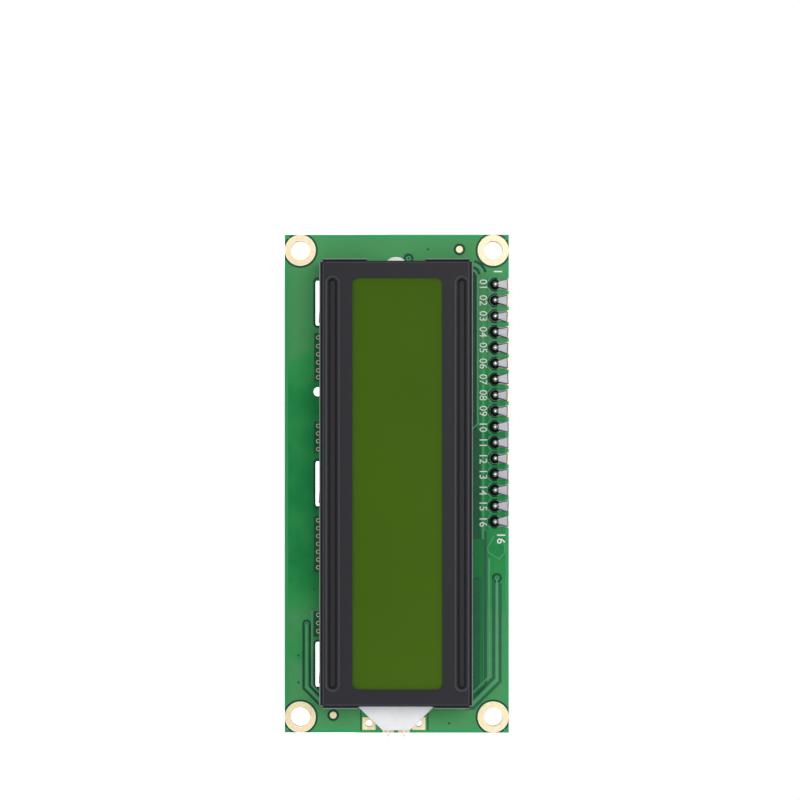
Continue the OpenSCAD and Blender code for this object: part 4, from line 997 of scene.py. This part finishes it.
board_numbers("adapter_numbers", marks, 1.6, ADAPTER_BACK, "black_solder_mask", back=True)

# faint tracks under the black mask, at 45 degrees between the chip, the trimmer and the headers
faint = [run((-7.6 - 0.5 * n, 4.4), (-7.6 - 0.5 * n, 3.0 - 0.4 * n), (-10.4 - 0.3 * n, 0.4),
             (-18.5 - 0.9 * n, 0.4), (-20.6 - n, 2.3)) for n in range(3)]
faint += [run((-6.6 + 1.1 * n, 13.0), (-6.0 + 1.1 * n, 14.2)) for n in range(9)]
faint += [around((0, PITCH * n), (-28.4, 5.0), (-26.6, 5.0), (-25.7, 5.9)) for n in range(3)]
faint += [around((n, 0), (-2.4, -0.2), (-2.4, 2.6), (-1.6, 3.4)) for n in range(3)]
on_board("adapter_tracks", faint, 0.22, 0.012, black_track, ADAPTER_BACK, "black_solder_mask")

# solder drawn up each chip lead: one drop, wide at its far end, copied to every lead
drop_picks()
bpy.ops.mesh.primitive_uv_sphere_add(segments=20, ring_count=12, radius=1)
drop = named("lead_solder")
for point in drop.data.vertices:
    narrow = 1 - 0.3 * max(0.0, -point.co.x)
    point.co.x *= 0.82
    point.co.y *= 0.36 * narrow
    point.co.z *= 0.2 * narrow
drops = [copy_of(drop, "drop", (CHIP[0] + side * 4.95, CHIP[1] + PITCH / 2 * (n - 3.5), ADAPTER_BACK),
                 0 if side > 0 else math.pi) for n in range(8) for side in SIDES]
bpy.data.objects.remove(drop)
fit(smooth(stand_up(joined("lead_solder_drops", drops)), 60), "solder", look=tinned_pads)

# Trimmer: raised scale round its rotor, with a longer first mark, and a white dot in a small ring
tx, ty = on_adapter(9.2, 10.7)
turns = [math.radians(90 + 360 / 13 * n) for n in range(13)]
scale = [run(polar(tx, ty, 1.75, turn), polar(tx, ty, 2.66 if turn == turns[0] else 2.2, turn)) for turn in turns]
scale += [ring(tx, ty, 1.72, 40), ring(*TRIMMER_DOT, 0.36, 20)]
on_board("trimmer_scale", scale, 0.24, 0.05, dark_blue, TRIMMER_TOP, "blue_plastic")
fit(stand_up(rod("trimmer_dot", (*TRIMMER_DOT, TRIMMER_TOP), 0.2, 0.03, 20)), "blue_plastic", look=white_ink)


# Studio: pale floor, soft lights, camera

def seen_by_camera(tree, otherwise, seen):
    """One strength for what the camera sees, another for the light that it gives."""
    ray = add(tree, "LightPath").outputs["Is Camera Ray"]
    return add(tree, "MapRange", {"Value": ray}, {"To Min": otherwise, "To Max": seen}).outputs["Result"]


# Floor: rolled white studio paint, even and matt, that glows so as to stay white in the picture
floor_paint = plain_finish("pale_studio_floor", "#F4F4F4", "#F8F8F8", 60, 0.7, 0.01, Emission_Color=(1, 1, 1, 1))
tree = floor_paint.node_tree
tree.links.new(seen_by_camera(tree, 0.38, 0.8), tree.nodes["Principled BSDF"].inputs["Emission Strength"])
drop_picks()
bpy.ops.mesh.primitive_circle_add(vertices=96, radius=6, fill_type="NGON", location=(0, 0, -HALF_WID * MM))
floor = named("studio_floor")
floor.data.materials.append(floor_paint)

scene = bpy.context.scene
world = bpy.data.worlds.new("white_studio")
scene.world = world
world.use_nodes = True
sky = world.node_tree.nodes["Background"]
sky.inputs["Color"].default_value = (1, 1, 1, 1)
world.node_tree.links.new(seen_by_camera(world.node_tree, 0.3, 1.0), sky.inputs["Strength"])
scene.view_settings.view_transform = "Standard"


def soft_light(name, place, size, power):
    light = bpy.data.lights.new(name, "AREA")
    light.shape = "SQUARE"
    light.size = size
    light.energy = power
    lamp = bpy.data.objects.new(name, light)
    scene.collection.objects.link(lamp)
    lamp.location = place
    lamp.rotation_euler = (-Vector(place)).to_track_quat("-Z", "Y").to_euler()


soft_light("key_softbox", (-0.16, -0.85, 0.26), 0.4, 2.75)
soft_light("fill_softbox", (0.25, -0.8, 0.02), 0.4, 0.75)
soft_light("rim_softbox", (-0.1, -0.15, 0.7), 0.35, 1.1)
soft_light("back_softbox", (0.35, 0.75, 0.45), 0.5, 4.0)

# a long lens straight at the front, rolled a quarter turn as in the photo
camera = bpy.data.objects.new("camera", bpy.data.cameras.new("camera"))
scene.collection.objects.link(camera)
camera.data.sensor_width = 36
camera.data.lens = 152.6
camera.data.shift_x = 0.0041
camera.data.shift_y = 0.1046
camera.data.clip_start = 0.01
camera.data.clip_end = 20
camera.location = (0, -0.545, 0)
camera.rotation_euler = Matrix(((0, -1, 0), (0, 0, -1), (1, 0, 0))).to_euler()
scene.camera = camera
